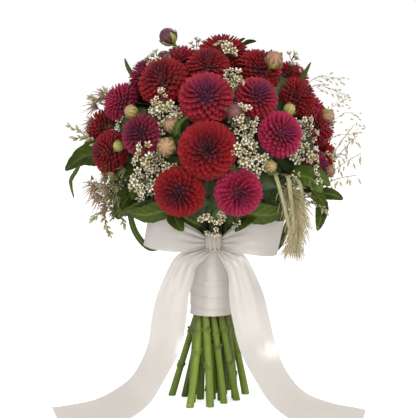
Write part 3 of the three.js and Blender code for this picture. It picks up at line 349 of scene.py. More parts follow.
GOLDEN_TURN = math.pi * (3 - math.sqrt(5))
PETAL_STATIONS = [0.0, 0.3, 0.6, 0.84, 0.96]
PETAL_FORMS = {
    "heart": {"until": 0.09, "widths": [0.3, 0.85, 1.0, 0.8, 0.42], "cup": 0.7, "keel": 0.12,
              "bend": (-10, -28)},
    "inner": {"until": 0.3, "widths": [0.3, 0.8, 1.0, 0.92, 0.54], "cup": 0.6, "keel": 0.12,
              "bend": (0, 16)},
    "middle": {"until": 0.62, "widths": [0.3, 0.68, 0.96, 1.0, 0.62], "cup": 0.48, "keel": 0.11,
              "bend": (0, 30)},
    "outer": {"until": 1.0, "widths": [0.3, 0.64, 0.94, 1.0, 0.66], "cup": 0.36, "keel": 0.1,
              "bend": (2, 38)},
}
PETAL = {"sides": 6, "front": 0.93, "back": 0.72, "slim": 0.34, "widening": 0.72, "widest": 0.6,
         "spread": 124}
BLOOM = {"front": 0.8, "back": 0.5, "heart": 0.9, "root": 0.2, "core": 0.5, "usual": 33}
LOW_BLOOMS = {"bloom_18": (0.89, 7.5), "bloom_19": (0.88, 7.5)}
PETAL_COLOURS = {
    "dahlia_red": {"Deep": (112, 22, 26), "Flesh": (152, 26, 32), "Tip": (180, 42, 48),
                   "Heart": (92, 36, 50), "Heart Size": 0.24},
    "dahlia_crimson": {"Deep": (116, 24, 38), "Flesh": (160, 32, 50), "Tip": (188, 54, 74),
                       "Heart": (112, 48, 92), "Heart Size": 0.26},
    "dahlia_plum": {"Deep": (92, 26, 42), "Flesh": (140, 32, 60), "Tip": (176, 62, 94),
                    "Heart": (88, 34, 64), "Heart Size": 0.3},
    "dahlia_magenta": {"Deep": (122, 20, 50), "Flesh": (172, 30, 70), "Tip": (204, 62, 108),
                       "Heart": (140, 40, 84), "Heart Size": 0.22},
}
HABITS = {
    "dahlia_red": {"petals": 262, "width": 0.132, "crowding": 0.6, "size": 1.11},
    "dahlia_crimson": {"petals": 244, "width": 0.132, "crowding": 0.6, "size": 1.11},
    "dahlia_plum": {"petals": 230, "width": 0.13, "crowding": 0.58, "size": 1.12},
    "dahlia_magenta": {"petals": 262, "width": 0.12, "crowding": 0.6, "size": 1.1},
}


def petal_template(name, form):
    """The petal as a mesh that is copied into each bloom, from its pointed root out to its tip."""
    bm = bmesh.new()
    layers = mesh_layers(bm)
    ring = root = bmesh.ops.create_circle(bm, segments=PETAL["sides"], radius=1.0)["verts"]
    edges = list(bm.edges)
    for corner in ring:
        corner[layers["across"]] = corner.co.x
        corner[layers["tone"]] = corner.co.y
    first, last = form["bend"]
    x = z = 0.0
    for i, station in enumerate(PETAL_STATIONS):
        if i:
            step = station - PETAL_STATIONS[i - 1]
            lean = math.radians(first + (last - first) * station**1.6)
            x += step * math.cos(lean)
            z -= step * math.sin(lean)
            ring, edges = extrude_ring(bm, edges)
        wide = form["widths"][i]
        for corner in ring:
            across, side = corner[layers["across"]], corner[layers["tone"]]
            keel = form["keel"] * (side if side < 0 else 0.2 * side)
            corner.co = Vector((x, wide * across, z + form["cup"] * wide * abs(across) ** 1.5 + keel))
            corner[layers["along"]] = station
    step = 1 - PETAL_STATIONS[-1]
    lean = math.radians(last)
    tip = Vector((x + step * math.cos(lean), 0, z - step * math.sin(lean) + 0.2 * form["cup"]))
    bmesh.ops.pointmerge(bm, verts=extrude_ring(bm, edges)[0], merge_co=tip)
    bmesh.ops.pointmerge(bm, verts=root, merge_co=Vector((-0.03, 0, 0)))
    bmesh.ops.recalc_face_normals(bm, faces=bm.faces)
    return stored_mesh(bm, name)


PETALS = {name: petal_template("petal_" + name, form) for name, form in PETAL_FORMS.items()}


def place_copy(bm, template, matrix, **values):
    """Adds a copy of a small mesh, with the same tone or mark at all its points."""
    copy = template.copy()
    copy.transform(matrix)
    for name, value in values.items():
        stored = copy.attributes.get(name) or copy.attributes.new(name, "FLOAT", "POINT")
        stored.data.foreach_set("value", [value] * len(copy.vertices))
    bm.from_mesh(copy)
    bpy.data.meshes.remove(copy)


def axes_matrix(origin, along, upward, sizes):
    """A place for a copy: X along, Z as near upward as can be, with its sizes."""
    x = along.normalized()
    y = upward.cross(x).normalized()
    turn = Matrix((x, y, x.cross(y))).transposed().to_4x4()
    return Matrix.Translation(origin) @ turn @ Matrix.Diagonal((*sizes, 1))


def across_of(facing):
    """Two directions square to a third and to each other."""
    side = facing.cross(UP)
    if side.length < 0.1:
        side = Vector((1, 0, 0))
    side.normalize()
    return side, facing.cross(side).normalized()


def seat_matrix(centre, facing, size):
    """A place for a round thing of radius 1 that faces Z."""
    turn = Matrix((*across_of(facing), facing)).transposed().to_4x4()
    return Matrix.Translation(centre) @ turn @ Matrix.Scale(size, 4)


def bloom_seat(node):
    """A bloom's centre, facing and radius, from the two points where its core's faces meet."""
    bm = merged_copy(node)
    foot = next(corner.co.copy() for corner in bm.verts if len(corner.link_edges) == 12)
    heart = next(corner.co.copy() for corner in bm.verts if len(corner.link_edges) == 10)
    bm.free()
    facing = (heart - foot).normalized()
    radius = (heart - foot).length / (BLOOM["back"] + BLOOM["front"] * BLOOM["heart"])
    return foot + facing * radius * BLOOM["back"], facing, radius


def grow_bloom(node, number, material, habit):
    """Petals in golden-angle spirals, from the heart out to the rim and round to the back."""
    centre, facing, radius = SEATS[node]
    bm = bmesh.new()
    mesh_layers(bm)
    core = bmesh.ops.create_icosphere(bm, subdivisions=2, radius=1.0)["verts"]
    bmesh.ops.scale(bm, vec=(BLOOM["core"], BLOOM["core"], BLOOM["core"] * 0.8), verts=core)
    count = int(habit["petals"] * (0.7 + 0.3 * radius / (BLOOM["usual"] * MM)))
    for i in range(count):
        rank = (i + 0.6) / count
        polar = math.radians(PETAL["spread"]) * rank**habit["crowding"]
        turn = i * GOLDEN_TURN + number
        sine, cosine = math.sin(polar), math.cos(polar)
        out = Vector((sine * math.cos(turn), sine * math.sin(turn), cosine))
        inward = Vector((-cosine * math.cos(turn), -cosine * math.sin(turn), sine))
        shape = next(name for name, form in PETAL_FORMS.items() if rank < form["until"])
        depth = PETAL["front"] if out.z > 0 else PETAL["back"]
        reach = 1 / math.hypot(sine, cosine / depth)
        reach *= 1.0 - 0.04 * chance(number * 13 + i)
        length = (reach - BLOOM["root"]) * (1.0 if shape in ("heart", "inner") else 1.08)
        width = habit["width"] * (PETAL["slim"] + PETAL["widening"] * min(rank / PETAL["widest"], 1.0) ** 0.8)
        lean = Quaternion(out.cross(inward), math.radians(6 * (chance(i * 3 + number) - 0.5)))
        roll = Quaternion(out, math.radians(24 * (chance(i * 7 + number) - 0.5)))
        matrix = axes_matrix(out * BLOOM["root"], lean @ out, roll @ inward, (length, width, width * 1.3))
        place_copy(bm, PETALS[shape], matrix, tone=chance(i * 11 + number), mark=rank)
    bmesh.ops.transform(bm, matrix=seat_matrix(centre, facing, radius * habit["size"]), verts=bm.verts)
    finished(bm, node + "_petals", material, node, sharp=75)


def ramp(tree, factor, stops):
    """A grey that follows a factor through its stops of position and brightness."""
    made = add_node(tree, "ValToRGB", {0: factor})
    for element, (position, bright) in zip(made.color_ramp.elements, stops):
        element.position = position
        element.color = (bright, bright, bright, 1)
    return made.outputs["Color"]


def petal_shades():
    """Petal flesh: deep at the root, lit toward the tip, with another colour in the heart."""
    tree, given, result = new_group("Petal Shades", ["Deep", "Flesh", "Tip", "Heart"], ["Heart Size"])
    along, across, rank, tone = (attribute(tree, name) for name in ("along", "across", "mark", "tone"))
    grain = add_node(tree, "CombineXYZ", {"X": sum_up(tree, "MULTIPLY", across, 9.0), "Y": along,
                                          "Z": sum_up(tree, "MULTIPLY", tone, 40.0)}).outputs[0]
    veins = add_node(tree, "TexNoise", {"Vector": grain, "Scale": 1.6, "Detail": 2.0}).outputs["Fac"]
    lit = sum_up(tree, "MULTIPLY_ADD", veins, 0.35, sum_up(tree, "SUBTRACT", along, 0.175))
    flesh = blend_colours(tree, ramp(tree, lit, [(0.25, 0), (0.72, 1)]), given["Deep"], given["Flesh"])
    edged = blend_colours(tree, ramp(tree, lit, [(0.7, 0), (1.0, 0.75)]), flesh, given["Tip"])
    heart = sum_up(tree, "SUBTRACT", 1.0, sum_up(tree, "DIVIDE", rank, given["Heart Size"]))
    hearted = blend_colours(tree, sum_up(tree, "MAXIMUM", heart, 0.0), edged, given["Heart"])
    shade = sum_up(tree, "MULTIPLY_ADD", tone, 0.35, 0.8)
    grey = add_node(tree, "CombineColor", {0: shade, 1: shade, 2: shade}).outputs[0]
    tree.links.new(blend_colours(tree, 1.0, hearted, grey, "MULTIPLY"), result["Color"])
    tree.links.new(veins, result["Height"])
    return tree


PETAL_SHADES = petal_shades()
petal_finishes = {
    slot: finish_material(slot + "_petal", PETAL_SHADES, colours, 0.5, 0.25, 0.3,
                          sheen=0.1, specular=0.25, flesh=0.35)
    for slot, colours in PETAL_COLOURS.items()
}
slot_of = {row["node"]: row["material_slot"] for row in frame["record"]["subparts"]}
BLOOM_NODES = sorted(node for node in frame["nodes"] if node.startswith("bloom_"))
SEATS = {node: bloom_seat(node) for node in BLOOM_NODES}
BLOOM_FEET = {node: centre - facing * radius * BLOOM["back"]
              for node, (centre, facing, radius) in SEATS.items()}
for node, (share, lift) in LOW_BLOOMS.items():
    centre, facing, radius = SEATS[node]
    SEATS[node] = (centre + UP * lift * MM, facing, radius * share)
for number, node in enumerate(BLOOM_NODES):
    slot = slot_of[node]
    grow_bloom(node, number + 1, petal_finishes[slot], HABITS[slot])


# Green backs of the blooms
# Each bloom sits in a green cup of sepals that widens from its stem. The cups are soft plant tissue, grown as
# one with the stem.

CUP = {"stem": 2.7, "widest": 0.4, "root": 0.16, "sepals": 6, "sepal_length": 0.62, "sepal_width": 0.16}


def add_stalk(bm, path, radius_at, sides, tone=0.5, **values):
    """Grows a stalk apart and adds it to a larger mesh, with the same values at all its points."""
    part = bmesh.new()
    grow_stalk(part, path, radius_at, sides, tone)
    stalk = stored_mesh(part, "stalk")
    place_copy(bm, stalk, Matrix.Identity(4), **values)
    bpy.data.meshes.remove(stalk)


def around(axis, turn):
    """A direction square to an axis, turned round it."""
    side, other = across_of(axis)
    return side * math.cos(turn) + other * math.sin(turn)


def plant_shades():
    """Leaf green with lighter veins along it, and dull patches."""
    tree, given, result = new_group("Growth Mottle", ["Dark", "Bright", "Rib"])
    patches = object_noise(tree, 38, 4)
    lit = sum_up(tree, "MULTIPLY_ADD", patches, 0.8, sum_up(tree, "SUBTRACT", attribute(tree, "tone"), 0.4))
    skin = blend_colours(tree, lit, given["Dark"], given["Bright"])
    rib = attribute(tree, "mark")
    tree.links.new(blend_colours(tree, rib, skin, given["Rib"]), result["Color"])
    relief = sum_up(tree, "MULTIPLY_ADD", patches, 0.4, sum_up(tree, "MULTIPLY", rib, 0.6))
    tree.links.new(relief, result["Height"])
    return tree


PLANT_SHADES = plant_shades()


def plant_finish(name, dark, bright, rib, *relief, **settings):
    """A finish from a plant's dark and bright skin and its ribs, with its roughness and relief."""
    colours = {"Dark": dark, "Bright": bright, "Rib": rib}
    return finish_material(name, PLANT_SHADES, colours, *relief, **settings)


cup_green = plant_finish("cup_green", (58, 84, 30), (120, 146, 62), (150, 166, 88), 0.5, 0.3, 0.4)

cups_bm = bmesh.new()
for number, node in enumerate(BLOOM_NODES):
    centre, facing, radius = SEATS[node]
    start, foot = BLOOM_FEET[node], centre - facing * radius * BLOOM["back"]
    shape = [CUP["stem"] * MM, CUP["stem"] * 1.25 * MM, radius * CUP["widest"] * 0.8, radius * CUP["widest"]]
    path = [start - facing * 4 * MM, start - facing * 0.5 * MM, foot + facing * 0.2 * radius,
            foot + facing * 0.4 * radius]
    add_stalk(cups_bm, path, lambda share, shape=shape: shape[round(share * 3)], 10)
    width = radius * CUP["sepal_width"]
    for k in range(CUP["sepals"]):
        along = (around(facing, 2 * math.pi * k / CUP["sepals"] + number) - facing * 0.25).normalized()
        matrix = axes_matrix(foot + facing * CUP["root"] * radius, along, facing,
                             (radius * CUP["sepal_length"], width, width))
        place_copy(cups_bm, PETALS["middle"], matrix, tone=0.3 + 0.5 * chance(k + number), mark=0.1)
finished(cups_bm, "bloom_cups", cup_green)


# Side buds
# Round dahlia buds: purple, pink or green balls of closed petals, each held in green sepals that clasp it.
# Most grow on the stems' own side shoots, and six more on thin shoots from inside the head.

HEAD = {"x": 133, "y": 121, "z": 306, "z_radius": 134}
ROOTS = {"above": 226, "within": 0.66}
BUD = {"pole_edges": 7, "pole_rise": 0.55, "sepals": 5, "sepal": 0.42}
BUD_LOOKS = [(-80, 66, 0.05), (-50, 28, 0.72), (-24, 24, 0.5), (-56, 11, 0.95), (15, 31, 0.15), (92, 57, 0.4),
             (50, 30, 0.9), (94, 30, 0.65), (32, 2, 0.75), (86, -14, 0.6), (-140, 34, 0.2), (160, 22, 0.5)]
EXTRA_BUDS = [
    ((-55, 0, 464), (-0.55, -0.35, 0.75), 11, 0.02), ((-55, -116, 336), (-0.1, -0.95, 0.1), 11, 0.62),
    ((145, -14, 366), (0.75, -0.6, 0.05), 8.5, 0.58), ((76, -60, 438), (0.3, -0.75, 0.55), 10.5, 0.45),
    ((28, -116, 377), (0.0, -0.95, 0.2), 10.5, 0.12), ((147, -32, 298), (0.7, -0.7, -0.1), 7, 0.35),
]


def shell_point(azimuth, elevation, reach=1.0):
    """A point of the head's shell, by azimuth from the front, elevation and reach."""
    turn, rise = math.radians(azimuth), math.radians(elevation)
    return mm(HEAD["x"] * reach * math.sin(turn) * math.cos(rise),
              -HEAD["y"] * reach * math.cos(turn) * math.cos(rise),
              HEAD["z"] + HEAD["z_radius"] * reach * math.sin(rise))


def outward(point):
    """The way out of the head at a point."""
    x, y, z = point / MM
    way = Vector((x / HEAD["x"] ** 2, y / HEAD["y"] ** 2, (z - HEAD["z"]) / HEAD["z_radius"] ** 2))
    return way.normalized()


def shell_share(point):
    """How far out a point lies in the head: 0 at its middle, 1 on its surface."""
    x, y, z = point / MM
    return math.sqrt((x / HEAD["x"]) ** 2 + (y / HEAD["y"]) ** 2 + ((z - HEAD["z"]) / HEAD["z_radius"]) ** 2)


roots = []
for node in STEM_GROUPS:
    stem_bm = merged_copy(node)
    roots.extend(corner.co.copy() for corner in stem_bm.verts if corner.co.z > ROOTS["above"] * MM)
    stem_bm.free()
inner_roots = [root for root in roots if shell_share(root) < ROOTS["within"]]
root_tree = KDTree(len(inner_roots))
for number, root in enumerate(inner_roots):
    root_tree.insert(root, number)
root_tree.balance()


def nearest_root(point):
    """The point of a stem inside the head from which a shoot to this point grows."""
    return root_tree.find(point)[0]


def curve_point(points, share):
    """A point of the smooth curve through a list of points."""
    place = min(max(share, 0.0), 1.0) * (len(points) - 1)
    i = min(int(place), len(points) - 2)
    t = place - i
    before, after = points[max(i - 1, 0)], points[min(i + 2, len(points) - 1)]
    start, end = points[i], points[i + 1]
    bend = 2 * before - 5 * start + 4 * end - after
    twist = 3 * start - before - 3 * end + after
    return 0.5 * (2 * start + (end - before) * t + bend * t * t + twist * t**3)


def curve_line(points, count):
    return [curve_point(points, i / (count - 1)) for i in range(count)]


def add_twig(bm, points, thick, thinning, sides, tone, count=0, **values):
    """A thin stalk whose radius in millimetres shrinks evenly, on a smooth curve if it is given a count."""
    path = curve_line(points, count) if count else points
    add_stalk(bm, path, lambda share: (thick - thinning * share) * MM, sides, tone, **values)


def bud_seats(node):
    """Buds of a stem group: each is a pole where seven equal edges meet, facing out of the head."""
    bm = merged_copy(node)
    found = []
    for pole in bm.verts:
        lengths = [edge.calc_length() for edge in pole.link_edges]
        if len(lengths) != BUD["pole_edges"] or max(lengths) > 1.03 * min(lengths):
            continue
        ring = sum((edge.other_vert(pole).co for edge in pole.link_edges), Vector()) / BUD["pole_edges"]
        rise = pole.co - ring
        facing = rise.normalized()
        radius = rise.length / BUD["pole_rise"]
        if facing.dot(outward(pole.co)) > 0.7:
            found.append((pole.co - facing * radius, facing, radius))
    bm.free()
    return found


def grow_sepal(bm, centre, facing, radius, turn, reach, tone):
    """A strip laid over a ball, from its back up its side."""
    layers = mesh_layers(bm)
    grid = bmesh.ops.create_grid(bm, x_segments=7, y_segments=2, size=1.0)["verts"]
    for corner in grid:
        share, across = (corner.co.x + 1) / 2, corner.co.y
        polar = math.pi - math.radians(reach) * share
        narrowing = math.sin(math.pi * min(0.25 + 0.75 * share, 0.97)) ** 0.7
        spread = BUD["sepal"] * narrowing * across / max(math.sin(polar), 0.35)
        lift = 1.07 + 0.10 * share * share - 0.03 * abs(across) + 0.25 * max(0.0, share - 0.75)
        place = around(facing, turn + spread) * math.sin(polar)
        corner.co = centre + (place + facing * math.cos(polar)) * radius * lift
        corner[layers["tone"]] = tone
        corner[layers["mark"]] = 0.5 * (1 - abs(across)) + 0.3 * share
    faces = {face for corner in grid for face in corner.link_faces}
    bmesh.ops.solidify(bm, geom=list(faces), thickness=0.35 * MM)


def bud_shades():
    """Closed petals striped from the tip, from purple through pink to green."""
    tree, given, result = new_group("Bud Stripes", ["Purple", "Pink", "Green", "Crease Shade"])
    tone = attribute(tree, "tone")
    body = blend_colours(tree, sum_up(tree, "MULTIPLY", tone, 2.0), given["Purple"], given["Pink"])
    body = blend_colours(tree, sum_up(tree, "MULTIPLY_ADD", tone, 2.0, -1.0), body, given["Green"])
    # Painted shade: the creases between the closed petals are darkened, more toward the tip.
    crease = attribute(tree, "mark")
    dark = sum_up(tree, "MULTIPLY", crease, sum_up(tree, "MULTIPLY_ADD", attribute(tree, "along"), 0.5, 0.35))
    tree.links.new(blend_colours(tree, dark, body, given["Crease Shade"]), result["Color"])
    tree.links.new(sum_up(tree, "SUBTRACT", 1.0, crease), result["Height"])
    return tree


def grow_bud(bm, centre, facing, radius, tone, number):
    """A ball creased between its closed petals, and a little pointed."""
    layers = mesh_layers(bm)
    ball = bmesh.ops.create_uvsphere(bm, u_segments=32, v_segments=14, radius=1.0)["verts"]
    for corner in ball:
        rise = corner.co.z
        crease = abs(math.sin(4 * math.atan2(corner.co.y, corner.co.x) + 1.6 * rise)) ** 6 * (1 - rise**6)
        corner[layers["tone"]] = tone + 0.12 * (noise.noise(corner.co * 2.1 + Vector((number, 0, 0))))
        corner[layers["mark"]] = crease
        corner[layers["along"]] = (rise + 1) / 2
        corner.co *= 1.03 - 0.05 * crease + 0.03 * max(0.0, rise) ** 8
    bmesh.ops.transform(bm, matrix=seat_matrix(centre, facing, radius), verts=ball)


bud_skin = finish_material("bud_skin", bud_shades(), {
    "Purple": (96, 42, 64), "Pink": (184, 140, 106), "Green": (190, 186, 106), "Crease Shade": (100, 44, 62)},
    0.42, 0.4, 0.5)
sepal_green = plant_finish("sepal_green", (84, 110, 40), (158, 174, 76), (186, 190, 110), 0.48, 0.3, 0.4)

buds_bm = bmesh.new()
sepals_bm = bmesh.new()
BUD_SEATS = [seat for node in STEM_GROUPS for seat in bud_seats(node)]
looks = [(shell_point(azimuth, rise), tone) for azimuth, rise, tone in BUD_LOOKS]
for middle, facing, radius, tone in EXTRA_BUDS:
    centre, facing = mm(*middle), Vector(facing).normalized()
    BUD_SEATS.append((centre, facing, radius * MM))
    looks.append((centre, tone))
    neck = centre - facing * radius * MM
    root = nearest_root(neck)
    way = [root, root.lerp(neck, 0.6) - outward(neck) * 22 * MM, neck - facing * 8 * MM, neck]
    add_twig(sepals_bm, way, 2.0, 0.4, 7, 0.5, count=8)
for number, (centre, facing, radius) in enumerate(BUD_SEATS):
    tone = min(looks, key=lambda look: (look[0] - centre).length)[1]
    grow_bud(buds_bm, centre, facing, radius, tone, number)
    for k in range(BUD["sepals"]):
        reach = 92 + 30 * chance(number * 3 + k) + 18 * tone
        turn = 2 * math.pi * k / BUD["sepals"] + number
        grow_sepal(sepals_bm, centre, facing, radius, turn, reach, 0.4 + 0.5 * chance(k))
    neck = centre - facing * radius * 0.9
    add_stalk(sepals_bm, [neck - facing * 5 * MM, neck - facing * 1 * MM, neck + facing * 0.3 * radius],
              lambda share, r=radius: (1.9 * MM if share < 0.4 else 0.3 * r + 1.1 * MM * share), 8, 0.6)
finished(buds_bm, "side_buds", bud_skin)
finished(sepals_bm, "bud_sepals", sepal_green)


# Leaves inside the head
# Dark leaves left on the upper stems fill the bunch behind the blooms, each grown from its stem. A few more
# close the gaps that would show between the blooms at the sides. Their green is darker than the outer
# leaves' as painted shade, so the inside of the head reads as shadow.

INNER_LEAF = {"count": 330, "tries": 14000, "depth": (0.3, 0.84), "length": (26, 54), "width": 0.32}
UNDER_LEAF = {"count": 400, "depth": 0.72, "length": 48, "width": 0.36}
GAP_LEAF = {"width": 15, "thick": 9}
GAP_LEAVES = [
    ((64, -30, 414), (104, -30, 388)), ((70, -26, 398), (106, -26, 372)), ((94, -26, 354), (128, -32, 316)),
    ((96, -20, 336), (130, -24, 302)), ((-84, -30, 376), (-114, -34, 334)),
    ((-76, -26, 356), (-112, -30, 318)), ((-96, -30, 300), (-124, -36, 264)),
]


def small_leaf_template():
    """A small folded leaf of length 1 along X with its midrib down, as a closed blade."""
    bm = bmesh.new()
    layers = mesh_layers(bm)
    for corner in bmesh.ops.create_grid(bm, x_segments=6, y_segments=2, size=1.0)["verts"]:
        share, across = (corner.co.x + 1) / 2, corner.co.y
        wide = math.sin(math.pi * min(share + 0.02, 1.0) ** 0.85) ** 0.8 if share < 1 else 0.0
        corner.co = Vector((share, wide * across, 0.35 * abs(across) * wide - 0.25 * share * share))
        corner[layers["mark"]] = 1 - abs(across)
    bmesh.ops.solidify(bm, geom=bm.faces[:], thickness=0.02)
    bmesh.ops.remove_doubles(bm, verts=bm.verts, dist=0.001)
    bmesh.ops.recalc_face_normals(bm, faces=bm.faces)
    return stored_mesh(bm, "small_leaf")


def inside_bloom(point, share):
    return any((point - centre).length < radius * share for centre, facing, radius in SEATS.values())


SMALL_LEAF = small_leaf_template()
inner_bm = bmesh.new()
made = tries = 0
while made < INNER_LEAF["count"] and tries < INNER_LEAF["tries"]:
    tries += 1
    root = roots[int(chance(tries * 1.31) * len(roots))]
    if not INNER_LEAF["depth"][0] < shell_share(root) < INNER_LEAF["depth"][1]:
        continue
    out = outward(root)
    turn = 2 * math.pi * chance(tries * 2.17)
    along = (out * (0.35 + 0.5 * chance(tries * 5.1)) + around(out, turn)).normalized()
    low, high = INNER_LEAF["length"]
    length = (low + (high - low) * chance(tries * 3.3)) * MM
    blocked = any(inside_bloom(root + along * length * share, 0.86) for share in (0.5, 0.8, 1.0))
    if blocked or shell_share(root + along * length) > 1.0:
        continue
    width = length * INNER_LEAF["width"] * (0.8 + 0.4 * chance(tries))
    matrix = axes_matrix(root, along, out, (length, width, width))
    place_copy(inner_bm, SMALL_LEAF, matrix, tone=0.2 + 0.6 * chance(tries * 7.7))
    made += 1
for k in range(UNDER_LEAF["count"]):
    rise = 1 - 1.4 * (k + 0.5) / UNDER_LEAF["count"]
    elevation, azimuth = math.degrees(math.asin(rise)), math.degrees(k * GOLDEN_TURN)
    spot = shell_point(azimuth, elevation, UNDER_LEAF["depth"] + 0.08 * chance(k * 2.3))
    out = outward(spot)
    along = around(out, 2 * math.pi * chance(k * 5.7))
    length = UNDER_LEAF["length"] * (0.8 + 0.4 * chance(k * 1.9)) * MM
    width = length * UNDER_LEAF["width"]
    start = spot - along * length * 0.5
    root = nearest_root(start)
    add_twig(inner_bm, [root, root.lerp(start, 0.6) - out * 6 * MM, start], 0.9, 0, 4, 0.4, count=6)
    matrix = axes_matrix(start, along, out, (length, width, width * 0.6))
    place_copy(inner_bm, SMALL_LEAF, matrix, tone=0.1 + 0.5 * chance(k * 7.7))
for number, (low, high) in enumerate(GAP_LEAVES):
    start, end = mm(*low), mm(*high)
    add_twig(inner_bm, [nearest_root(start), start], 0.9, 0, 4, 0.4, count=5)
    sizes = ((end - start).length, GAP_LEAF["width"] * MM, GAP_LEAF["thick"] * MM)
    matrix = axes_matrix(start, end - start, Vector((0, -1, 0)), sizes)
    place_copy(inner_bm, SMALL_LEAF, matrix, tone=0.1 + 0.3 * chance(number))
# Painted shade: a darker green than the outer leaves', for the leaves deep in the head.
shaded_inner_green = plant_finish("shaded_inner_leaf_green", (28, 44, 18), (66, 92, 36), (84, 108, 48), 0.5, 0.35, 0.5)
finished(inner_bm, "inner_leaves", shaded_inner_green)


# Wax flowers
# Sprays of small cream flowers, five waxy petals round a yellow-green cup, among closed white buds, on thin
# branching stalks. The sprays are pushed in among the dahlias, and their stalks are held under the tape.

WAX = {"radius": 5.0, "clear": 7.0, "hub": 13, "stalk": 0.42, "around": 7, "spread": 9.5, "bud": 1.7,
       "bud_clear": 3.4, "rim": 10, "nearest": (3, 4.5), "furthest": (6.5, 8), "openings": (0.25, 0.7, 1.3)}
# Open flowers, then closed buds: the places tried, how widely they spread, and how deep they sit.
SCATTERS = [
    {"closed": False, "clear": WAX["clear"], "tries": 5, "crowd": 4, "first": 0.3, "reach": 1.25,
     "turn": 1, "draw": (1, 3.1), "deep": 5, "proud": 1, "number": 57},
    {"closed": True, "clear": WAX["bud_clear"], "tries": 3, "crowd": 3, "first": 0.5, "reach": 1.3,
     "turn": 2.2, "draw": (1.7, 1), "deep": 4, "proud": 1.5, "number": 91},
]
WAX_DRIFTS = [
    (18, 24, 14, 10), (15, 11, 18, 16), (20, 1, 10, 7), (-37, 34, 11, 8), (-25, 31, 10, 7), (-31, 24, 9, 5),
    (-35, 5, 14, 11), (-36, -5, 16, 13), (-25, 0, 9, 6), (-44, -11, 11, 8), (64, 21, 11, 8),
    (55, 8, 12, 10), (17, 51, 11, 8), (-80, 58, 8, 5), (-72, 66, 8, 4), (80, 72, 8, 5), (72, 62, 8, 5),
    (78, 48, 9, 5), (-78, 27, 12, 8), (-82, 16, 13, 9), (-76, -4, 12, 5), (-64, -12, 13, 7),
    (-76, -24, 12, 6), (-4, -25, 5, 2), (6, -23, 5, 2), (15, -30, 5, 2), (80, 28, 9, 6), (52, -6, 9, 6),
    (74, 22, 9, 6), (44, 16, 8, 5), (27, 4, 9, 6), (165, 25, 16, 10), (-150, 20, 16, 10), (-176, 46, 14, 8),
    (-150, 72, 12, 6), (150, 0, 14, 8), (-170, 0, 14, 8), (120, 34, 12, 7), (125, 6, 14, 8),
    (-130, 40, 12, 6), (-125, 10, 13, 7), (160, 66, 12, 6), (105, 14, 12, 6),
]


def wax_flower_template(name, opening):
    """A wax flower of radius 1 facing Z: a green cup below, five rounded petals, and a pale green middle."""
    bm = bmesh.new()
    layers = mesh_layers(bm)
    rim = bmesh.ops.create_circle(bm, segments=20, radius=1.0)["verts"]
    edges = list(bm.edges)
    for corner in rim:
        lobe = abs(math.cos(2.5 * math.atan2(corner.co.y, corner.co.x)))
        reach = 0.44 + 0.56 * lobe**0.9
        corner.co = Vector((corner.co.x * reach, corner.co.y * reach, 0.42 * opening * lobe + 0.02))
        corner[layers["along"]] = 1.0
    for height, wide, along in ((0.04, 0.44, 0.42), (-0.2, 0.28, 0.2)):
        ring, edges = extrude_ring(bm, edges)
        for corner in ring:
            flat = corner.co.to_2d().normalized() * wide
            corner.co = Vector((flat.x, flat.y, height))
            corner[layers["along"]] = along
    bmesh.ops.contextual_create(bm, geom=ring)
    base, _ = extrude_ring(bm, [edge for edge in bm.edges if edge.is_boundary])
    for corner in base:
        corner[layers["along"]] = 0.0
    bmesh.ops.pointmerge(bm, verts=base, merge_co=(0, 0, -0.75))
    bmesh.ops.recalc_face_normals(bm, faces=bm.faces)
    return stored_mesh(bm, name)


def wax_bud_template():
    """A closed wax bud of radius 1: a white ball over its green cup."""
    bm = bmesh.new()
    layers = mesh_layers(bm)
    for corner in bmesh.ops.create_uvsphere(bm, u_segments=6, v_segments=5, radius=1.0)["verts"]:
        corner[layers["along"]] = 0.2 if corner.co.z < -0.5 else 1.0
    return stored_mesh(bm, "wax_bud")


WAX_FLOWERS = [wax_flower_template("wax_flower_" + str(k), opening)
               for k, opening in enumerate(WAX["openings"])]
WAX_BUD = wax_bud_template()
placed_florets = []


def add_floret(bm, spot, facing, root, number, clear, closed=False):
    """Adds a wax flower or bud with its thin stalk down to its root, where there is room for it."""
    if inside_bloom(spot, 0.97) or any((spot - other).length < clear * MM for other in placed_florets):
        return False
    placed_florets.append(spot)
    side, other = across_of(facing)
    lean, roll = 0.7 * (chance(number * 3.1) - 0.5), 0.7 * (chance(number * 4.7) - 0.5)
    facing = Quaternion(side, lean) @ Quaternion(other, roll) @ facing
    radius = (WAX["bud"] if closed else WAX["radius"]) * (0.68 + 0.44 * chance(number * 1.9)) * MM
    along = Quaternion(facing, number) @ across_of(facing)[0]
    template = WAX_BUD if closed else WAX_FLOWERS[int(chance(number * 8.3) * 3)]
    matrix = axes_matrix(spot, along, facing, (radius, radius, radius))
    place_copy(bm, template, matrix, tone=chance(number), mark=0.0)
    base = spot - facing * radius * 0.7
    add_twig(bm, [root, root.lerp(base, 0.5) - facing * 1.2 * MM, base], WAX["stalk"], 0, 4, 0.4, mark=1.0)
    return True


def wax_shades():
    """Cream petals, a yellow-green cup, and green stalks."""
    tree, given, result = new_group("Wax Flower Shades", ["Petal", "Shade", "Middle", "Stalk"])
    along = attribute(tree, "along")
    petal = blend_colours(tree, attribute(tree, "tone"), given["Petal"], given["Shade"])
    eye = ramp(tree, along, [(0.46, 1), (0.58, 0)])
    flower = blend_colours(tree, eye, petal, given["Middle"])
    tree.links.new(blend_colours(tree, attribute(tree, "mark"), flower, given["Stalk"]), result["Color"])
    tree.links.new(along, result["Height"])
    return tree


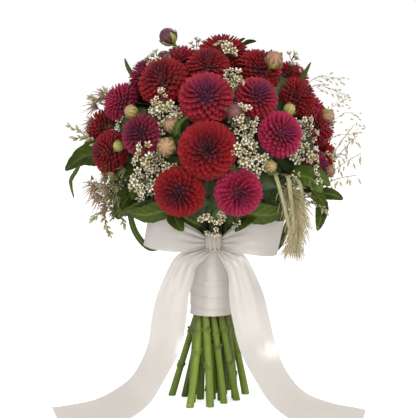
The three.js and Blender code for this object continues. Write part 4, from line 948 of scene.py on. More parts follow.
def floret_seats(bm):
    """Flowers of a spray's solid: each is a point where ten faces meet, with its ten rim corners."""
    seats = []
    for top in bm.verts:
        if len(top.link_faces) != WAX["rim"] or len(top.link_edges) != WAX["rim"]:
            continue
        rim = [edge.other_vert(top) for edge in top.link_edges]
        spans = [(corner.co - top.co).length / MM for corner in rim]
        near, far = WAX["nearest"], WAX["furthest"]
        if near[0] < min(spans) < near[1] and far[0] < max(spans) < far[1]:
            middle = sum((corner.co for corner in rim), Vector()) / WAX["rim"]
            normal = sum((face.normal * face.calc_area() for face in top.link_faces), Vector()).normalized()
            seats.append((middle, normal, [top, *rim]))
    return seats


def drift_owner(azimuth, elevation):
    """The spray that a drift of flowers belongs to."""
    if abs(azimuth) > 115:
        return "wax_spray_back"
    if azimuth < -50 and elevation < 0:
        return "wax_spray_low_left"
    if azimuth < -20:
        return "wax_spray_left"
    return "wax_spray_right" if azimuth > 40 else "wax_spray_front"


def scatter_florets(bm, drift, middle, hub, spread, count, scatter):
    """Adds a drift's flowers or buds in a spiral over its patch, and counts those that had room."""
    normal = outward(middle)
    placed = 0
    for k in range(count * scatter["tries"]):
        if placed >= count and not scatter["closed"]:
            break
        out = spread * math.sqrt((k + scatter["first"]) / (count * scatter["crowd"])) * MM * scatter["reach"]
        spot = middle + around(normal, k * GOLDEN_TURN + drift * scatter["turn"]) * out
        draw = chance(k * scatter["draw"][0] + drift * scatter["draw"][1])
        spot -= normal * (0.02 * out * out / MM + scatter["deep"] * MM * draw - scatter["proud"] * MM)
        lean = (normal * 30 * MM + spot - middle).normalized()
        number = drift * scatter["number"] + k
        placed += add_floret(bm, spot, lean, hub, number, scatter["clear"], scatter["closed"])
    return placed


wax_finish = finish_material("wax_petals", wax_shades(), {
    "Petal": (254, 246, 226), "Shade": (218, 200, 164), "Middle": (128, 114, 44), "Stalk": (70, 70, 42)},
    0.45, 0.2, 0.3)
wax_pieces = {node: merged_copy(node) for node in sorted(frame["nodes"]) if node.startswith("wax_spray")}
floret_number = 0
for bm in wax_pieces.values():
    layers = mesh_layers(bm)
    seats = floret_seats(bm)
    bmesh.ops.delete(bm, geom=list({corner for seat in seats for corner in seat[2]}), context="VERTS")
    bmesh.ops.holes_fill(bm, edges=[edge for edge in bm.edges if edge.is_boundary], sides=0)
    for corner in bm.verts:
        corner[layers["mark"]] = 1.0
        corner[layers["tone"]] = 0.4
    for middle, normal, _ in seats:
        for k in range(WAX["around"]):
            out = WAX["spread"] * math.sqrt(k / WAX["around"]) * MM
            drop = -0.06 * out * out / MM - 2.5 * MM * (chance(floret_number + k) - 0.6)
            spot = middle + around(normal, k * GOLDEN_TURN + floret_number) * out + normal * drop
            lean = (normal * 22 * MM + spot - middle).normalized()
            start = middle - normal * (2.6 if k == 0 else 9) * MM
            add_floret(bm, spot, lean, start, floret_number + k, WAX["clear"] if k else 0)
        floret_number += WAX["around"]
for drift, (azimuth, elevation, spread, count) in enumerate(WAX_DRIFTS):
    bm = wax_pieces[drift_owner(azimuth, elevation)]
    middle = shell_point(azimuth, elevation)
    hub = middle - outward(middle) * WAX["hub"] * MM
    placed = sum(scatter_florets(bm, drift, middle, hub, spread, count, scatter) for scatter in SCATTERS)
    if placed:
        base = ring_point(azimuth, 20, 206)
        inner = shell_point(azimuth * 0.9, elevation, 0.5).lerp(base, 0.15)
        add_twig(bm, [base, inner, hub], 1.0, 0.4, 5, 0.4, count=7, mark=1.0)
for node, bm in wax_pieces.items():
    finished(bm, node + "_flowers", wax_finish, node, sharp=50)


# Leaves and blades
# Broad dahlia leaves under the head, a drooping leaf at the left, a small leafy sprig, and long narrow blades
# that curl beside the bow. Their stalks are held under the tape with the wax flowers'.

LEAF = {"thickness": 0.5, "teeth": 9, "tooth": 0.10, "fold": 0.3, "vein": 0.07}
LEAVES = {
    "leaf_left": {"foot": -81, "stalk": [(-52, 2, 258), (-92, 8, 302)], "blades": [
        ([(-92, 8, 302), (-128, 0, 316), (-160, -8, 315), (-185, -14, 297)], 23, (0.15, -0.6, 0.8))]},
    "foliage_low_left": {"foot": -44, "stalk": [(-34, -28, 246), (-46, -44, 253)], "blades": [
        ([(-46, -44, 253), (-74, -72, 253), (-94, -86, 256), (-114, -96, 252)], 20, (0.5, -0.6, 0.6)),
        ([(-40, -36, 250), (-78, -46, 254), (-104, -54, 252), (-128, -58, 238)], 17, (0.2, -0.9, 0.3)),
        ([(-46, -44, 253), (-46, -74, 247), (-42, -94, 240), (-35, -109, 233)], 10, (1, 0, 0.3))]},
    "foliage_low_right": {"foot": 41, "stalk": [(32, -30, 246), (44, -44, 253)], "blades": [
        ([(44, -44, 253), (66, -68, 252), (84, -82, 252), (104, -90, 244)], 20, (-0.5, -0.5, 0.7)),
        ([(36, -36, 250), (80, -44, 258), (112, -52, 272), (136, -58, 290)], 13, (0.1, -0.9, -0.3)),
        ([(44, -44, 253), (46, -74, 246), (38, -94, 239), (28, -108, 232)], 10, (1, 0, 0.2))]},
    "leaf_sprig_right": {"foot": 71, "stalk": [(60, -18, 240), (104, -32, 262), (132, -38, 268)], "blades": [
        ([(132, -38, 268), (140, -42, 271), (152, -45, 269), (163, -46, 264)], 8, (0, -0.3, 0.95)),
        ([(132, -38, 268), (137, -43, 256), (135, -47, 240), (131, -49, 225)], 8, (0.9, -0.3, 0)),
        ([(104, -32, 262), (106, -42, 256), (110, -50, 246), (116, -54, 236)], 7, (0.9, 0.3, 0))]},
}
LONG_BLADE = {"half_width": 5.6, "across": (0.75, -0.6, 0.3), "fold": 0.4}
LONG_BLADES = {
    "long_blade_left": (-106, [
        (-38, -8, 213), (-56, -10, 199), (-78, -14, 197), (-97, -17, 219), (-104, -18, 250),
        (-98, -20, 268)]),
    "long_blade_right": (105, [
        (38, -6, 213), (58, -8, 198), (80, -14, 196), (95, -18, 226), (107, -20, 262), (118, -24, 284)]),
}
HELD = {"ring": 23.25, "low": 154, "free": 206, "lean": 25.65, "leaning": 214, "thick": 1.35}


def route(points):
    return [mm(*point) for point in points]


def heading(points, share, reach):
    """The way that a curve runs near one of its points."""
    return (curve_point(points, share + reach) - curve_point(points, share - reach)).normalized()


def held_foot(azimuth):
    """Where a thin stalk runs up under the tape and leans out above it."""
    return [ring_point(azimuth, HELD["ring"], HELD["low"]), ring_point(azimuth, HELD["ring"], HELD["free"]),
            ring_point(azimuth, HELD["lean"], HELD["leaning"])]


def leaf_outline(share):
    return math.sin(math.pi * min(share, 1.0) ** 0.8) ** 0.75 if 0 < share < 1 else 0.0


def blade_outline(share):
    return min(1.0, share * 8) ** 0.5 * (1 - share**6) if share < 1 else 0.0


def grow_leaf(bm, midrib, half_width, across, tone, fold=LEAF["fold"], teeth=LEAF["teeth"],
              outline=leaf_outline):
    """A blade spread to both sides of its midrib, folded up along it, with veins and a toothed edge."""
    layers = mesh_layers(bm)
    rib = route(midrib)
    grid = bmesh.ops.create_grid(bm, x_segments=30, y_segments=10, size=1.0)["verts"]
    for corner in grid:
        share, v = (corner.co.x + 1) / 2, corner.co.y
        ahead = heading(rib, share, 0.02)
        spread = (Vector(across) - ahead * ahead.dot(Vector(across))).normalized()
        up = ahead.cross(spread)
        if up.z < 0:
            up = -up
        tooth = 1 + (LEAF["tooth"] * ((share * teeth) % 1.0) if teeth and abs(v) > 0.75 else 0.0)
        wide = half_width * outline(share) * tooth * MM
        vein = math.cos(2 * math.pi * (share * teeth - 1.6 * abs(v)))
        ripple = LEAF["vein"] * vein * (1 - abs(v) * 0.4) * min(wide, 8 * MM)
        height = fold * abs(v) * wide - 0.22 * v * v * wide + ripple
        corner.co = curve_point(rib, share) + spread * v * wide + up * height
        corner[layers["tone"]] = tone + 0.12 * vein
        corner[layers["mark"]] = max(0.0, 1 - abs(v) * 7) + 0.35 * max(0.0, vein) ** 6
    faces = {face for corner in grid for face in corner.link_faces}
    bmesh.ops.remove_doubles(bm, verts=grid, dist=0.02 * MM)
    bmesh.ops.solidify(bm, geom=[face for face in faces if face.is_valid], thickness=LEAF["thickness"] * MM)


leaf_green = plant_finish("leaf_green", (36, 54, 14), (88, 108, 34), (112, 128, 56), 0.5, 0.4, 0.5,
                          specular=0.25)
for node, leaf in LEAVES.items():
    leaf_bm = bmesh.new()
    add_twig(leaf_bm, [*held_foot(leaf["foot"]), *route(leaf["stalk"])], HELD["thick"], 0.3, 8, 0.6, count=20)
    for number, (midrib, half_width, across) in enumerate(leaf["blades"]):
        start = mm(*midrib[0])
        joint = min(route(leaf["stalk"]), key=lambda point: (point - start).length)
        neck = [joint, *route(midrib[:2])]
        add_twig(leaf_bm, curve_line(neck, 6)[:4], 1.1, 0.4, 6, 0.7)
        grow_leaf(leaf_bm, midrib, half_width, across, 0.35 + 0.25 * chance(number + len(node)))
    finished(leaf_bm, node + "_fresh", leaf_green, node)
for node, (foot, way) in LONG_BLADES.items():
    blade_bm = bmesh.new()
    stalk = held_foot(foot)
    add_twig(blade_bm, [*stalk, mm(*way[0]).lerp(mm(*way[1]), 0.3)], 1.2, 0, 6, 0.6)
    grow_leaf(blade_bm, [stalk[-1] / MM, *way], LONG_BLADE["half_width"], LONG_BLADE["across"], 0.5,
              fold=LONG_BLADE["fold"], teeth=0, outline=blade_outline)
    finished(blade_bm, node + "_fresh", leaf_green, node)


# Dry grasses
# A buff feathery plume that arches out at the front right and hangs, and wispy oats at the right, both dry.
# Their stalks run down under the tape with the others.

PLUME = {"foot": 83, "hairs": 880, "hair": 25, "thick": 0.38, "bare": 0.34}
PLUME_WAY = [(64, -22, 256), (84, -70, 282), (98, -100, 274), (104, -112, 244), (98, -112, 214)]
OATS = {"foot": 134, "seed": 7, "seeds": 9, "thick": 0.75, "bare": 0.35}
OAT_TRUNK = [(58, 14, 234), (98, 20, 246), (126, 24, 262)]
OAT_TIPS = [(182, -4, 290), (188, -6, 318), (184, 0, 340), (178, -24, 356)]

straw = plant_finish("straw", (158, 144, 100), (226, 214, 174), (232, 222, 186), 0.6, 0.3, 0.3)

plume_bm = bmesh.new()
plume_curve = route(PLUME_WAY)
add_twig(plume_bm, [*held_foot(PLUME["foot"]), *plume_curve], 1.15, 0.6, 6, 0.5, count=40)
for k in range(PLUME["hairs"]):
    share = PLUME["bare"] + (1 - PLUME["bare"]) * (k + 0.5) / PLUME["hairs"]
    root = curve_point(plume_curve, share)
    ahead = heading(plume_curve, share, 0.03)
    out = around(ahead, k * GOLDEN_TURN)
    length = PLUME["hair"] * (0.55 + 0.6 * chance(k)) * (1.15 - 0.5 * share) * MM
    tip = root + (ahead * 0.9 + out * (0.5 + 0.6 * chance(k * 3))) * length - UP * 0.35 * length
    bend = root.lerp(tip, 0.5) + out * 0.16 * length
    add_stalk(plume_bm, [root, bend, tip], lambda share: (PLUME["thick"] * (1.2 - share) + 0.05) * MM, 3,
              0.2 + 0.8 * chance(k * 7))
finished(plume_bm, "buff_plume_dry", straw, "buff_plume")

oats_bm = bmesh.new()
add_twig(oats_bm, [*held_foot(OATS["foot"]), *route(OAT_TRUNK)], 1.1, 0.4, 6, 0.4, count=24)
fork = mm(*OAT_TRUNK[-1])
for k, end in enumerate(route(OAT_TIPS)):
    way = [fork, fork.lerp(end, 0.5) + UP * 6 * MM, end]
    add_twig(oats_bm, way, OATS["thick"], 0.35, 5, 0.4, count=10)
    for j in range(OATS["seeds"]):
        root = curve_point(way, OATS["bare"] + (1 - OATS["bare"]) * (j + 0.5) / OATS["seeds"])
        turn = 2.4 * j + k
        out = Vector((math.cos(turn), math.sin(turn), -0.2)).normalized()
        hang = root + (out * 5 + Vector((0, 0, -3))) * MM
        add_twig(oats_bm, [root, root + out * 4 * MM, hang], 0.28, 0, 3, 0.5)
        length = OATS["seed"] * (0.8 + 0.5 * chance(j + k)) * MM
        drop = (out * 0.5 - UP).normalized() * length
        seed = [hang, hang + drop * 0.3, hang + drop * 0.65, hang + drop]
        add_stalk(oats_bm, seed, lambda share: (0.3 + 1.1 * math.sin(math.pi * share) ** 0.8) * MM, 5, 0.8)
finished(oats_bm, "oat_spray_dry", straw, "oat_spray")


# Wild sprigs
# Thin sprigs picked with the rest fill the sides: budded and needled ones at the left, pale feathery grass at
# the right, and a few pointed leaves between the blooms. Each grows from the stem nearest to it.

BUD_SPRIGS = [
    [(-118, -8, 316), (-141, -10, 327), (-153, -14, 335), (-165, -18, 346), (-178, -20, 352)],
    [(-118, -6, 318), (-141, -8, 330), (-158, -10, 336), (-172, -12, 338)],
    [(-110, -44, 270), (-132, -50, 258), (-134, -52, 245), (-131, -54, 232), (-127, -54, 222)],
    [(-110, -48, 268), (-128, -52, 256), (-142, -54, 246), (-148, -54, 240)],
    [(-104, -56, 268), (-119, -60, 259), (-112, -62, 245), (-109, -62, 233)],
    [(-112, 0, 352), (-131, 0, 375), (-144, 0, 384), (-152, 0, 388)],
    [(-112, 4, 362), (-126, 2, 382), (-134, 0, 396)],
    [(118, -40, 262), (132, -46, 258), (140, -50, 250)],
    [(128, 0, 340), (140, -4, 352), (150, -6, 356)],
]
NEEDLE_HUBS = [
    (-142, -56, 279), (-136, -62, 268), (-126, -68, 279), (-128, -60, 258), (-144, 2, 374), (-148, 0, 352),
    (-134, 0, 386),
]
OLIVE_HUBS = [
    (-128, -62, 292), (-118, -72, 294), (-114, -76, 283), (-122, -74, 270), (-112, -78, 268),
    (-108, -76, 256), (-118, -70, 252), (-106, -70, 302), (-124, -50, 306), (-128, 0, 366), (-124, -8, 352),
    (-134, 0, 350),
]
NEEDLES = {"count": 21, "length": 21, "thick": 1.05, "olive_size": 0.66, "open": 1.3, "droop": 0.12}
FEATHERS = [
    [(138, -20, 348), (155, -20, 363), (172, -20, 371), (183, -20, 363)],
    [(141, -20, 336), (160, -20, 343), (175, -20, 343), (183, -20, 351)],
    [(136, -14, 356), (150, -14, 376), (162, -14, 384)],
    [(126, 0, 410), (142, 0, 414), (161, 0, 411)],
    [(126, 0, 402), (146, 0, 400), (166, 0, 391)],
    [(134, -30, 318), (148, -34, 320), (160, -36, 318)],
]
FEATHER = {"seeds": 15, "hair": 0.22}
POINTED_LEAVES = [
    ([(-3, -116, 318), (12, -124, 313), (33, -124, 306)], 9, (0.1, -0.6, 0.8)),
    ([(-47, -104, 345), (-43, -116, 352), (-40, -118, 363), (-28, -118, 373)], 5, (0.8, -0.5, 0)),
    ([(98, -8, 384), (105, -10, 395), (114, -10, 413), (124, -10, 433)], 5, (0.7, -0.7, 0)),
    ([(-98, 10, 410), (-102, 10, 417), (-107, 10, 427), (-110, 10, 437)], 4, (0.7, -0.7, 0)),
    ([(24, 6, 444), (32, 8, 455), (42, 10, 462)], 5, (0, -0.8, 0.6)),
    ([(32, 8, 446), (44, 10, 456), (56, 10, 458)], 5, (0, -0.8, 0.6)),
    ([(98, -64, 300), (108, -70, 296), (122, -76, 292), (134, -80, 276)], 15, (-0.4, -0.5, -0.7)),
    ([(104, -54, 292), (115, -60, 287), (130, -64, 270), (138, -64, 258)], 12, (0.7, -0.6, 0.5)),
    ([(112, -40, 300), (126, -50, 296), (146, -56, 282)], 12, (0.2, -0.6, -0.8)),
    ([(24, -74, 254), (46, -88, 251), (71, -90, 250), (92, -84, 256)], 17, (0, -0.55, 0.8)),
    ([(-34, -78, 262), (-57, -88, 256), (-82, -90, 250), (-103, -84, 254)], 16, (0, -0.55, 0.8)),
    ([(-94, -60, 282), (-104, -66, 268), (-112, -70, 254), (-116, -70, 242)], 13, (-0.8, -0.5, 0)),
    ([(-90, -40, 302), (-108, -48, 290), (-124, -52, 270)], 17, (0.7, -0.2, -0.7)),
    ([(-84, -40, 280), (-100, -52, 268), (-116, -58, 250)], 14, (0.7, -0.2, -0.7)),
    ([(-14, -36, 230), (-28, -44, 238), (-46, -50, 249)], 11, (0.5, -0.2, 0.8)),
    ([(20, -36, 232), (34, -44, 240), (50, -50, 249)], 9, (-0.5, -0.2, 0.8)),
    ([(-86, -66, 292), (-94, -76, 282), (-98, -82, 268)], 9, (-0.8, -0.5, 0.2)),
]
POINTED = {"fold": 0.35, "teeth": 7}
HANGING_LEAF = ([(-166, -14, 304), (-171, -14, 296), (-178, -14, 282), (-174, -14, 261)], 3, (0.8, -0.5, 0))
HANGING_STALK = [(-92, 8, 302), (-128, 6, 312), (-156, 0, 312), (-166, -14, 304)]
PALE_BLADES = [
    ([(76, -84, 300), (78, -102, 296), (85, -114, 271), (91, -118, 245), (97, -118, 219)],
     2.3, (0.95, -0.3, 0)),
    ([(88, -84, 298), (92, -104, 296), (95, -114, 271), (98, -118, 247), (101, -118, 215)],
     2.5, (0.95, -0.3, 0)),
    ([(98, -80, 296), (106, -96, 290), (110, -104, 268), (110, -106, 244)], 2.0, (0.95, -0.3, 0)),
]


def small_bud_template():
    """A closed bud of length 1 along X."""
    bm = bmesh.new()
    layers = mesh_layers(bm)
    for corner in bmesh.ops.create_uvsphere(bm, u_segments=6, v_segments=6, radius=0.5)["verts"]:
        share = corner.co.x + 0.5
        slim = 0.42 * (1.25 - 0.6 * share)
        corner.co = Vector((share, corner.co.y * slim, corner.co.z * slim))
        corner[layers["mark"]] = share
    return stored_mesh(bm, "small_bud")


def rooted(midrib):
    """The way of a leaf's stalk, from the nearest stem into the leaf."""
    start, after = route(midrib[:2])
    return [nearest_root(start), start, start.lerp(after, 0.3)]


SMALL_BUD = small_bud_template()
sprigs_bm = bmesh.new()
for number, points in enumerate(BUD_SPRIGS):
    line = route(points)
    add_twig(sprigs_bm, [nearest_root(line[0]), *line], 0.8, 0.4, 5, 0.3, count=14)
    count = 4 * len(points)
    for k in range(count):
        share = (k + 1) / count
        ahead = heading(line, share - 0.03, 0.03)
        along = ahead + around(ahead, k * GOLDEN_TURN + number) * (0.9 if k < count - 1 else 0)
        size = (6.5 + 3 * chance(k + number * 5)) * MM
        matrix = axes_matrix(curve_point(line, share), along, ahead + UP * 0.3, (size, size, size))
        place_copy(sprigs_bm, SMALL_BUD, matrix, tone=chance(k * 3 + number))
for midrib, half_width, across in PALE_BLADES:
    add_twig(sprigs_bm, rooted(midrib), 1.0, 0, 5, 0.7, count=8)
    grow_leaf(sprigs_bm, midrib, half_width, across, 0.7, teeth=0, outline=blade_outline)
sprig_green = plant_finish("sprig_green", (118, 118, 76), (186, 184, 136), (212, 204, 164), 0.55, 0.3, 0.4)
finished(sprigs_bm, "wild_sprigs", sprig_green)


def needle_shades():
    """Pinkish tan needles, and olive ones where a sprig is fresher."""
    tree, given, result = new_group("Needle Shades", ["Tan", "Pale", "Olive", "Fresh"])
    tone = attribute(tree, "tone")
    dry = blend_colours(tree, tone, given["Tan"], given["Pale"])
    green = blend_colours(tree, tone, given["Olive"], given["Fresh"])
    tree.links.new(blend_colours(tree, attribute(tree, "across"), dry, green), result["Color"])
    tree.links.new(tone, result["Height"])
    return tree


needle_tan = finish_material("needle_tan", needle_shades(), {
    "Tan": (122, 94, 74), "Pale": (196, 168, 146), "Olive": (84, 84, 44), "Fresh": (168, 164, 112)},
    0.6, 0.2, 0.4)
needles_bm = bmesh.new()
for number, spot in enumerate(route(NEEDLE_HUBS + OLIVE_HUBS)):
    olive = 1.0 if number >= len(NEEDLE_HUBS) else 0.0
    add_twig(needles_bm, [nearest_root(spot), spot], 0.6, 0, 5, 0.1, count=4, across=1.0)
    away = (outward(spot) + Vector((-0.5, -0.2, -0.1))).normalized()
    for k in range(NEEDLES["count"]):
        opened = NEEDLES["open"] * math.sqrt((k + 0.5) / NEEDLES["count"])
        out = (away + around(away, k * GOLDEN_TURN) * opened).normalized()
        size = NEEDLES["olive_size"] if olive else 1.0
        length = NEEDLES["length"] * size * (0.6 + 0.5 * chance(k + number * 9)) * MM
        droop = UP * length * NEEDLES["droop"]
        path = [spot, spot + out * length * 0.5 + droop, spot + out * length - droop]
        add_stalk(needles_bm, path, lambda share: NEEDLES["thick"] * (1.2 - share) * MM, 4,
                  chance(k + number), across=olive)
finished(needles_bm, "needle_sprigs", needle_tan)

feathers_bm = bmesh.new()
for number, points in enumerate(FEATHERS):
    line = route(points)
    add_twig(feathers_bm, [nearest_root(line[0]), *line], 0.6, 0.35, 5, 0.4, count=12)
    for k in range(FEATHER["seeds"]):
        share = (k + 1) / FEATHER["seeds"]
        spot = curve_point(line, share)
        ahead = heading(line, share - 0.03, 0.03)
        out = around(ahead, k * GOLDEN_TURN + number)
        length = (5 + 6 * chance(k + number * 3)) * MM
        tip = spot + (ahead * 0.8 + out * 0.6 - UP * 0.35) * length
        hair = [spot, spot.lerp(tip, 0.5) + out * 0.1 * length, tip]
        add_twig(feathers_bm, hair, FEATHER["hair"], 0, 3, 0.5)
        size = (3.5 + 2 * chance(k)) * MM
        matrix = axes_matrix(tip, tip - spot, UP, (size, size, size))
        place_copy(feathers_bm, SMALL_BUD, matrix, tone=chance(k * 7))
feather_pale = plant_finish("feather_pale", (150, 144, 104), (222, 214, 178), (226, 218, 188), 0.6, 0.3, 0.3)
finished(feathers_bm, "feather_grass", feather_pale)

pointed_bm = bmesh.new()
for number, leaf in enumerate(POINTED_LEAVES):
    add_twig(pointed_bm, rooted(leaf[0]), 1.1, 0.4, 6, 0.6, count=8)
    grow_leaf(pointed_bm, *leaf, 0.3 + 0.4 * chance(number), **POINTED)
add_twig(pointed_bm, route(HANGING_STALK), 0.8, 0, 6, 0.6, count=10)
grow_leaf(pointed_bm, *HANGING_LEAF, 0.5, **POINTED)
finished(pointed_bm, "pointed_leaves", leaf_green)


# Binding tape
# The tape that holds the stems and thin stalks together, wound tight and hidden under the ribbon. Its solid
# is shown as it is, with a finish of its own.

tape = frame["nodes"]["binding_tape"]
tape.data.materials.clear()
tape.data.materials.append(plant_finish("stem_tape", (88, 112, 62), (122, 144, 88), (134, 152, 98),
                                         0.7, 0.4, 0.3))


# Satin ribbon round the handle
# A 50 mm double-faced satin ribbon wound up the stems in a slight spiral, each turn laid over most of the
# last one. It is stretched tight over the tape.

TURN = {"radius": 25.5, "layer": 0.62, "pitch": 15, "turns": 5.2, "low": 113, "wide": 50, "starts": -150,
        "flare": 1.5, "flared": 60, "rim": 0.35, "thickness": 0.3}


def cloth_shades():
    """Satin: fine threads across, soft mottling, and painted shade, warmer and darker, in pleats and folds.
    """
    tree, given, result = new_group("Thread Weave", ["Satin", "Fold Shade"], ["Threads"])
    place = add_node(tree, "CombineXYZ", {
        "X": sum_up(tree, "MULTIPLY", attribute(tree, "along"), given["Threads"]),
        "Y": sum_up(tree, "MULTIPLY", attribute(tree, "across"), 60.0)}).outputs[0]
    threads = add_node(tree, "TexNoise", {"Vector": place, "Scale": 3.0, "Detail": 1.0}).outputs["Fac"]
    # Painted shade: the mark darkens the satin toward the fold colour in pleats and along each turn's lower
    # edge.
    pleats = sum_up(tree, "MULTIPLY", attribute(tree, "mark"), 0.6)
    wear_and_shade = sum_up(tree, "MULTIPLY_ADD", object_noise(tree, 24, 2), 0.5, pleats)
    tree.links.new(blend_colours(tree, wear_and_shade, given["Satin"], given["Fold Shade"]), result["Color"])
    tree.links.new(threads, result["Height"])
    return tree


satin = finish_material("satin", cloth_shades(), {
    "Satin": (231, 226, 220), "Fold Shade": (218, 208, 195), "Threads": 8.0},
    0.27, 0.06, 0.1, sheen=0.1, specular=0.9)


def make_cloth(node, place, counts, thickness):
    """A ribbon as a closed sheet: each corner's place and painted shade come from its shares along and
    across.
    """
    bm = bmesh.new()
    layers = mesh_layers(bm)
    for corner in bmesh.ops.create_grid(bm, x_segments=counts[0], y_segments=counts[1], size=1.0)["verts"]:
        u, v = (corner.co.x + 1) / 2, (corner.co.y + 1) / 2
        corner.co, pleat = place(u, v)
        corner[layers["along"]] = u
        corner[layers["across"]] = v
        corner[layers["mark"]] = pleat
    bmesh.ops.recalc_face_normals(bm, faces=bm.faces)
    grown = bmesh.ops.extrude_face_region(bm, geom=bm.faces[:], use_keep_orig=True)["geom"]
    bm.normal_update()
    for part in grown:
        if isinstance(part, bmesh.types.BMVert):
            part.co += part.normal * thickness * MM
    piece = finished(bm, node + "_satin", satin, node)


def winding_place(u, v):
    """Each turn rises one pitch, lies on those below it, and comes down onto the tape at its upper edge."""
    turns = u * TURN["turns"]
    rise = min(max(turns - 1, 0), 3) * TURN["pitch"]
    height = TURN["low"] + rise + v * TURN["wide"]
    under = min(max((TURN["wide"] * (1 - v)) / TURN["pitch"], 0), turns)
    azimuth = TURN["starts"] - 360 * turns
    turn = math.radians(azimuth)
    spot = Vector((math.cos(turn) * 3, math.sin(turn) * 3, height * 0.09 + turns * 4))
    rim = max(0.0, 1 - v * 14)
    radius = TURN["radius"] + TURN["layer"] * under
    radius += 0.35 * noise.noise(spot) + 0.25 * noise.noise(spot * 2.6)
    radius += TURN["flare"] * max(0.0, 1 - (height - TURN["low"]) / TURN["flared"]) + TURN["rim"] * rim
    # The second value is painted shade: a darker band along each turn's lower edge, over soft mottling.
    return ring_point(azimuth, radius, height), 0.25 + 0.3 * noise.noise(spot) + 0.5 * rim


make_cloth("ribbon_winding", winding_place, (420, 26), TURN["thickness"])


# Bow
# One length of the same ribbon tied round the winding: a pleated knot, two loops that open out flat-ended to
# either side, and two long tails. A row gives a loop's x, y, lower and upper edge and lean, or a point on
# either edge of a tail.

BOW = {"x": 1.8, "y": -33.1, "z": 210, "cloth": 0.45, "pleats": 3.5}
KNOT = {"turn": 0.97, "start": 0.26, "pleats": 5.5, "pleat": 0.18}
KNOT_RINGS = [(-10.6, 4.4, 8.2), (-7.5, 6.4, 10.8), (0, 7.1, 11.6), (7.5, 6.4, 10.8), (10.6, 4.4, 8.2)]
LOOPS = {
    "bow_loop_left": (-1, 0.16, [
        (-9.2, -36.6, 203, 217, 0), (-24, -46, 199, 229, 0), (-48, -53, 199, 242, 2), (-70, -54, 202, 243, 6),
        (-79, -50, 205, 243, 8), (-82, -44, 206, 242, 9), (-79, -38, 206, 241, 8), (-66, -35, 204, 240, 5),
        (-44, -34, 202, 236, 1), (-22, -33.4, 203, 226, 0), (-9.2, -33, 204, 216, 0)]),
    "bow_loop_right": (1, 0.165, [
        (12.8, -36.6, 203, 217, 0), (28, -46, 198, 230, 0), (50, -52, 195, 238, 3), (72, -54, 193, 240, 9),
        (82, -50, 193, 240, 12), (86, -44, 194, 240, 13), (82, -38, 195, 239, 12), (68, -35, 197, 238, 8),
        (46, -34, 199, 235, 2), (26, -33.4, 202, 226, 0), (12.8, -33, 204, 216, 0)]),
}
TAILS = {
    "bow_tail_left": (-1, [
        (-6.5, -34, 201, 3, -34, 199), (-29, -42, 200, -9, -41, 188), (-46, -47, 192, -20, -45, 178),
        (-61, -50, 164, -23.5, -48, 164), (-70, -54, 139, -29, -53, 144), (-75, -60, 116, -32.5, -62, 114),
        (-80, -70, 84, -39, -77, 82), (-95, -86, 54, -60, -104, 46), (-114, -99, 38, -78, -125, 22),
        (-142, -122, 28, -108, -150, 7), (-178, -146, 26, -150, -176, 1.6),
        (-192, -153, 26, -172, -192, 1.2)]),
    "bow_tail_right": (1, [
        (10.8, -34, 201, 4.2, -34, 199), (28, -41, 199, 11.5, -40, 186), (43, -45, 191, 20, -44, 169),
        (62, -50, 152, 21.5, -50, 144), (70, -56, 124, 24, -56, 122), (79, -68, 86, 35, -72, 78),
        (91, -84, 57, 55, -100, 44), (112, -106, 35, 76, -130, 20), (142, -130, 27, 108, -160, 6),
        (172, -150, 25, 146, -182, 1.4), (184, -158, 24, 168, -196, 1.2)]),
}


def row_value(rows, share):
    """A row between the rows of a table, each number on its own smooth curve."""
    return [curve_point([Vector((value, 0, 0)) for value in column], share).x for column in zip(*rows)]


def knot_place(u, v):
    """Round the knot from behind, its width gathered into pleats."""
    x, depth, height = row_value(KNOT_RINGS, v)
    turn = 2 * math.pi * (u * KNOT["turn"] + KNOT["start"])
    pleat = math.cos(2 * math.pi * KNOT["pleats"] * v + 0.7 * math.sin(turn))
    fold = 1 + KNOT["pleat"] * pleat
    y, z = BOW["y"] - depth * math.cos(turn) * fold, BOW["z"] + height * math.sin(turn) * fold
    # The second value is painted shade, deepest in the pleat valleys.
    return mm(BOW["x"] + x, y, z), 0.5 - 0.5 * pleat


def loop_place(rows, phase):
    """Out from the knot along the loop's front, round its flat end and back behind, pleated near the knot."""
    def place(u, v):
        x, y, low, high, lean = row_value(rows, u)
        near = math.exp(-abs(x - BOW["x"]) / 26)
        pleat = math.cos(2 * math.pi * (BOW["pleats"] * v + 0.15 * u)) * near
        out = -1 if u < 0.5 else 1
        soft = noise.noise(Vector((x * 0.03, v * 2.2, 5 * u + phase))) * 2.2 * (1 - near)
        y += out * (pleat * 2.6 - soft * 0.5) - lean * (v - 0.5)
        x += lean * (v - 0.5) * 0.7
        z = low + (high - low) * v + 1.6 * 4 * v * (1 - v) * near * math.sin(3 * u)
        # The second value is painted shade, deepest in the pleat valleys near the knot.
        return mm(x, y, z), 0.25 + 0.6 * near * (0.5 - 0.5 * pleat)
    return place


def tail_place(rows, phase):
    """Down a tail between its outer and inner edge, pleated at the knot, and clear of the floor."""
    def place(u, v):
        values = row_value(rows, u)
        near = math.exp(-7 * u)
        spot = Vector(values[:3]).lerp(Vector(values[3:]), v)
        pleat = math.cos(2 * math.pi * BOW["pleats"] * v) * near
        bulge = 3.2 * 4 * v * (1 - v) * (1 - near)
        ripple = 1.3 * math.sin(2 * math.pi * (0.5 * v + 2.6 * u + 0.2 * phase)) * min(1, 4 * u)
        spot.y -= bulge + 2.2 * pleat + ripple * 0.6
        floor_clear = 1.0 + 0.3 * (1 - v)
        # The second value is painted shade, deepest in the pleat valleys near the knot.
        return mm(spot.x, spot.y, max(spot.z, floor_clear)), 0.2 + 0.6 * near * (0.5 - 0.5 * pleat)
    return place


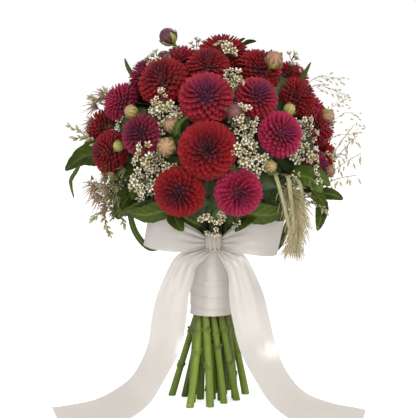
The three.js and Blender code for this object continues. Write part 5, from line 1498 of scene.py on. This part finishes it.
make_cloth("bow_knot", knot_place, (56, 88), BOW["cloth"])
for node, (phase, flat_length, rows) in LOOPS.items():
    make_cloth(node, loop_place(rows, phase), (110, 40), BOW["cloth"])
for node, (phase, rows) in TAILS.items():
    make_cloth(node, tail_place(rows, phase), (200, 30), BOW["cloth"])


# Floor, light and camera
# A plain pale floor under soft daylight from the upper right, seen from a little above, as a table top is.
# The floor is only for the picture and is no part of the bouquet.

WHITE = (1.0, 1.0, 1.0, 1.0)
FLOOR = {"half": 6.0, "colour": (0.8, 0.8, 0.8, 1.0), "glow": 0.72}
SKY = {"cast": 0.5, "seen": 1.0}
LIGHTS = {"key": ((0.8, -1.6, 1.7), 0.8, 17), "front": ((-0.2, -2.6, 0.5), 1.6, 15),
          "fill": ((-1.4, -1.2, 0.9), 1.2, 5), "back": ((0.4, 1.6, 1.6), 1.0, 8)}
LIT_HEIGHT = 0.28
CAMERA = {"x": -0.005, "away": 2.2, "height": 0.52, "dip": 7.09, "lens": 150.4, "sensor": 36}


def paper_white():
    """White that the camera sees as lit paper, with only a faint shadow."""
    material = bpy.data.materials.new("pale_floor")
    material.use_nodes = True
    tree = material.node_tree
    shader = tree.nodes["Principled BSDF"]
    shader.inputs["Base Color"].default_value = FLOOR["colour"]
    shader.inputs["Roughness"].default_value = 0.9
    shader.inputs["Specular IOR Level"].default_value = 0.0
    shader.inputs["Emission Color"].default_value = WHITE
    seen = add_node(tree, "LightPath").outputs["Is Camera Ray"]
    tree.links.new(sum_up(tree, "MULTIPLY", seen, FLOOR["glow"]), shader.inputs["Emission Strength"])
    return material


floor_bm = bmesh.new()
bmesh.ops.create_grid(floor_bm, x_segments=1, y_segments=1, size=FLOOR["half"])
floor = bpy.data.objects.new("floor", stored_mesh(floor_bm, "floor"))
floor.data.materials.append(paper_white())
bpy.context.scene.collection.objects.link(floor)

world = bpy.data.worlds.new("soft_daylight")
bpy.context.scene.world = world
world.use_nodes = True
sky = world.node_tree
seen = add_node(sky, "LightPath").outputs["Is Camera Ray"]
strength = add_node(sky, "Mix", {0: seen, 2: SKY["cast"], 3: SKY["seen"]}, data_type="FLOAT").outputs[0]
sky.nodes["Background"].inputs["Color"].default_value = WHITE
sky.links.new(strength, sky.nodes["Background"].inputs["Strength"])

for name, (place, size, power) in LIGHTS.items():
    lamp = bpy.data.lights.new(name, "AREA")
    lamp.size = size
    lamp.energy = power
    light = bpy.data.objects.new(name, lamp)
    light.location = place
    light.rotation_mode = "QUATERNION"
    light.rotation_quaternion = (Vector((0, 0, LIT_HEIGHT)) - Vector(place)).to_track_quat("-Z", "Y")
    bpy.context.scene.collection.objects.link(light)

camera = bpy.data.objects.new("camera", bpy.data.cameras.new("camera"))
camera.location = (CAMERA["x"], -CAMERA["away"], CAMERA["height"])
camera.rotation_euler = (math.radians(90 - CAMERA["dip"]), 0, 0)
camera.data.lens = CAMERA["lens"]
camera.data.sensor_width = CAMERA["sensor"]
bpy.context.scene.collection.objects.link(camera)
bpy.context.scene.camera = camera
bpy.context.scene.view_settings.view_transform = "Standard"
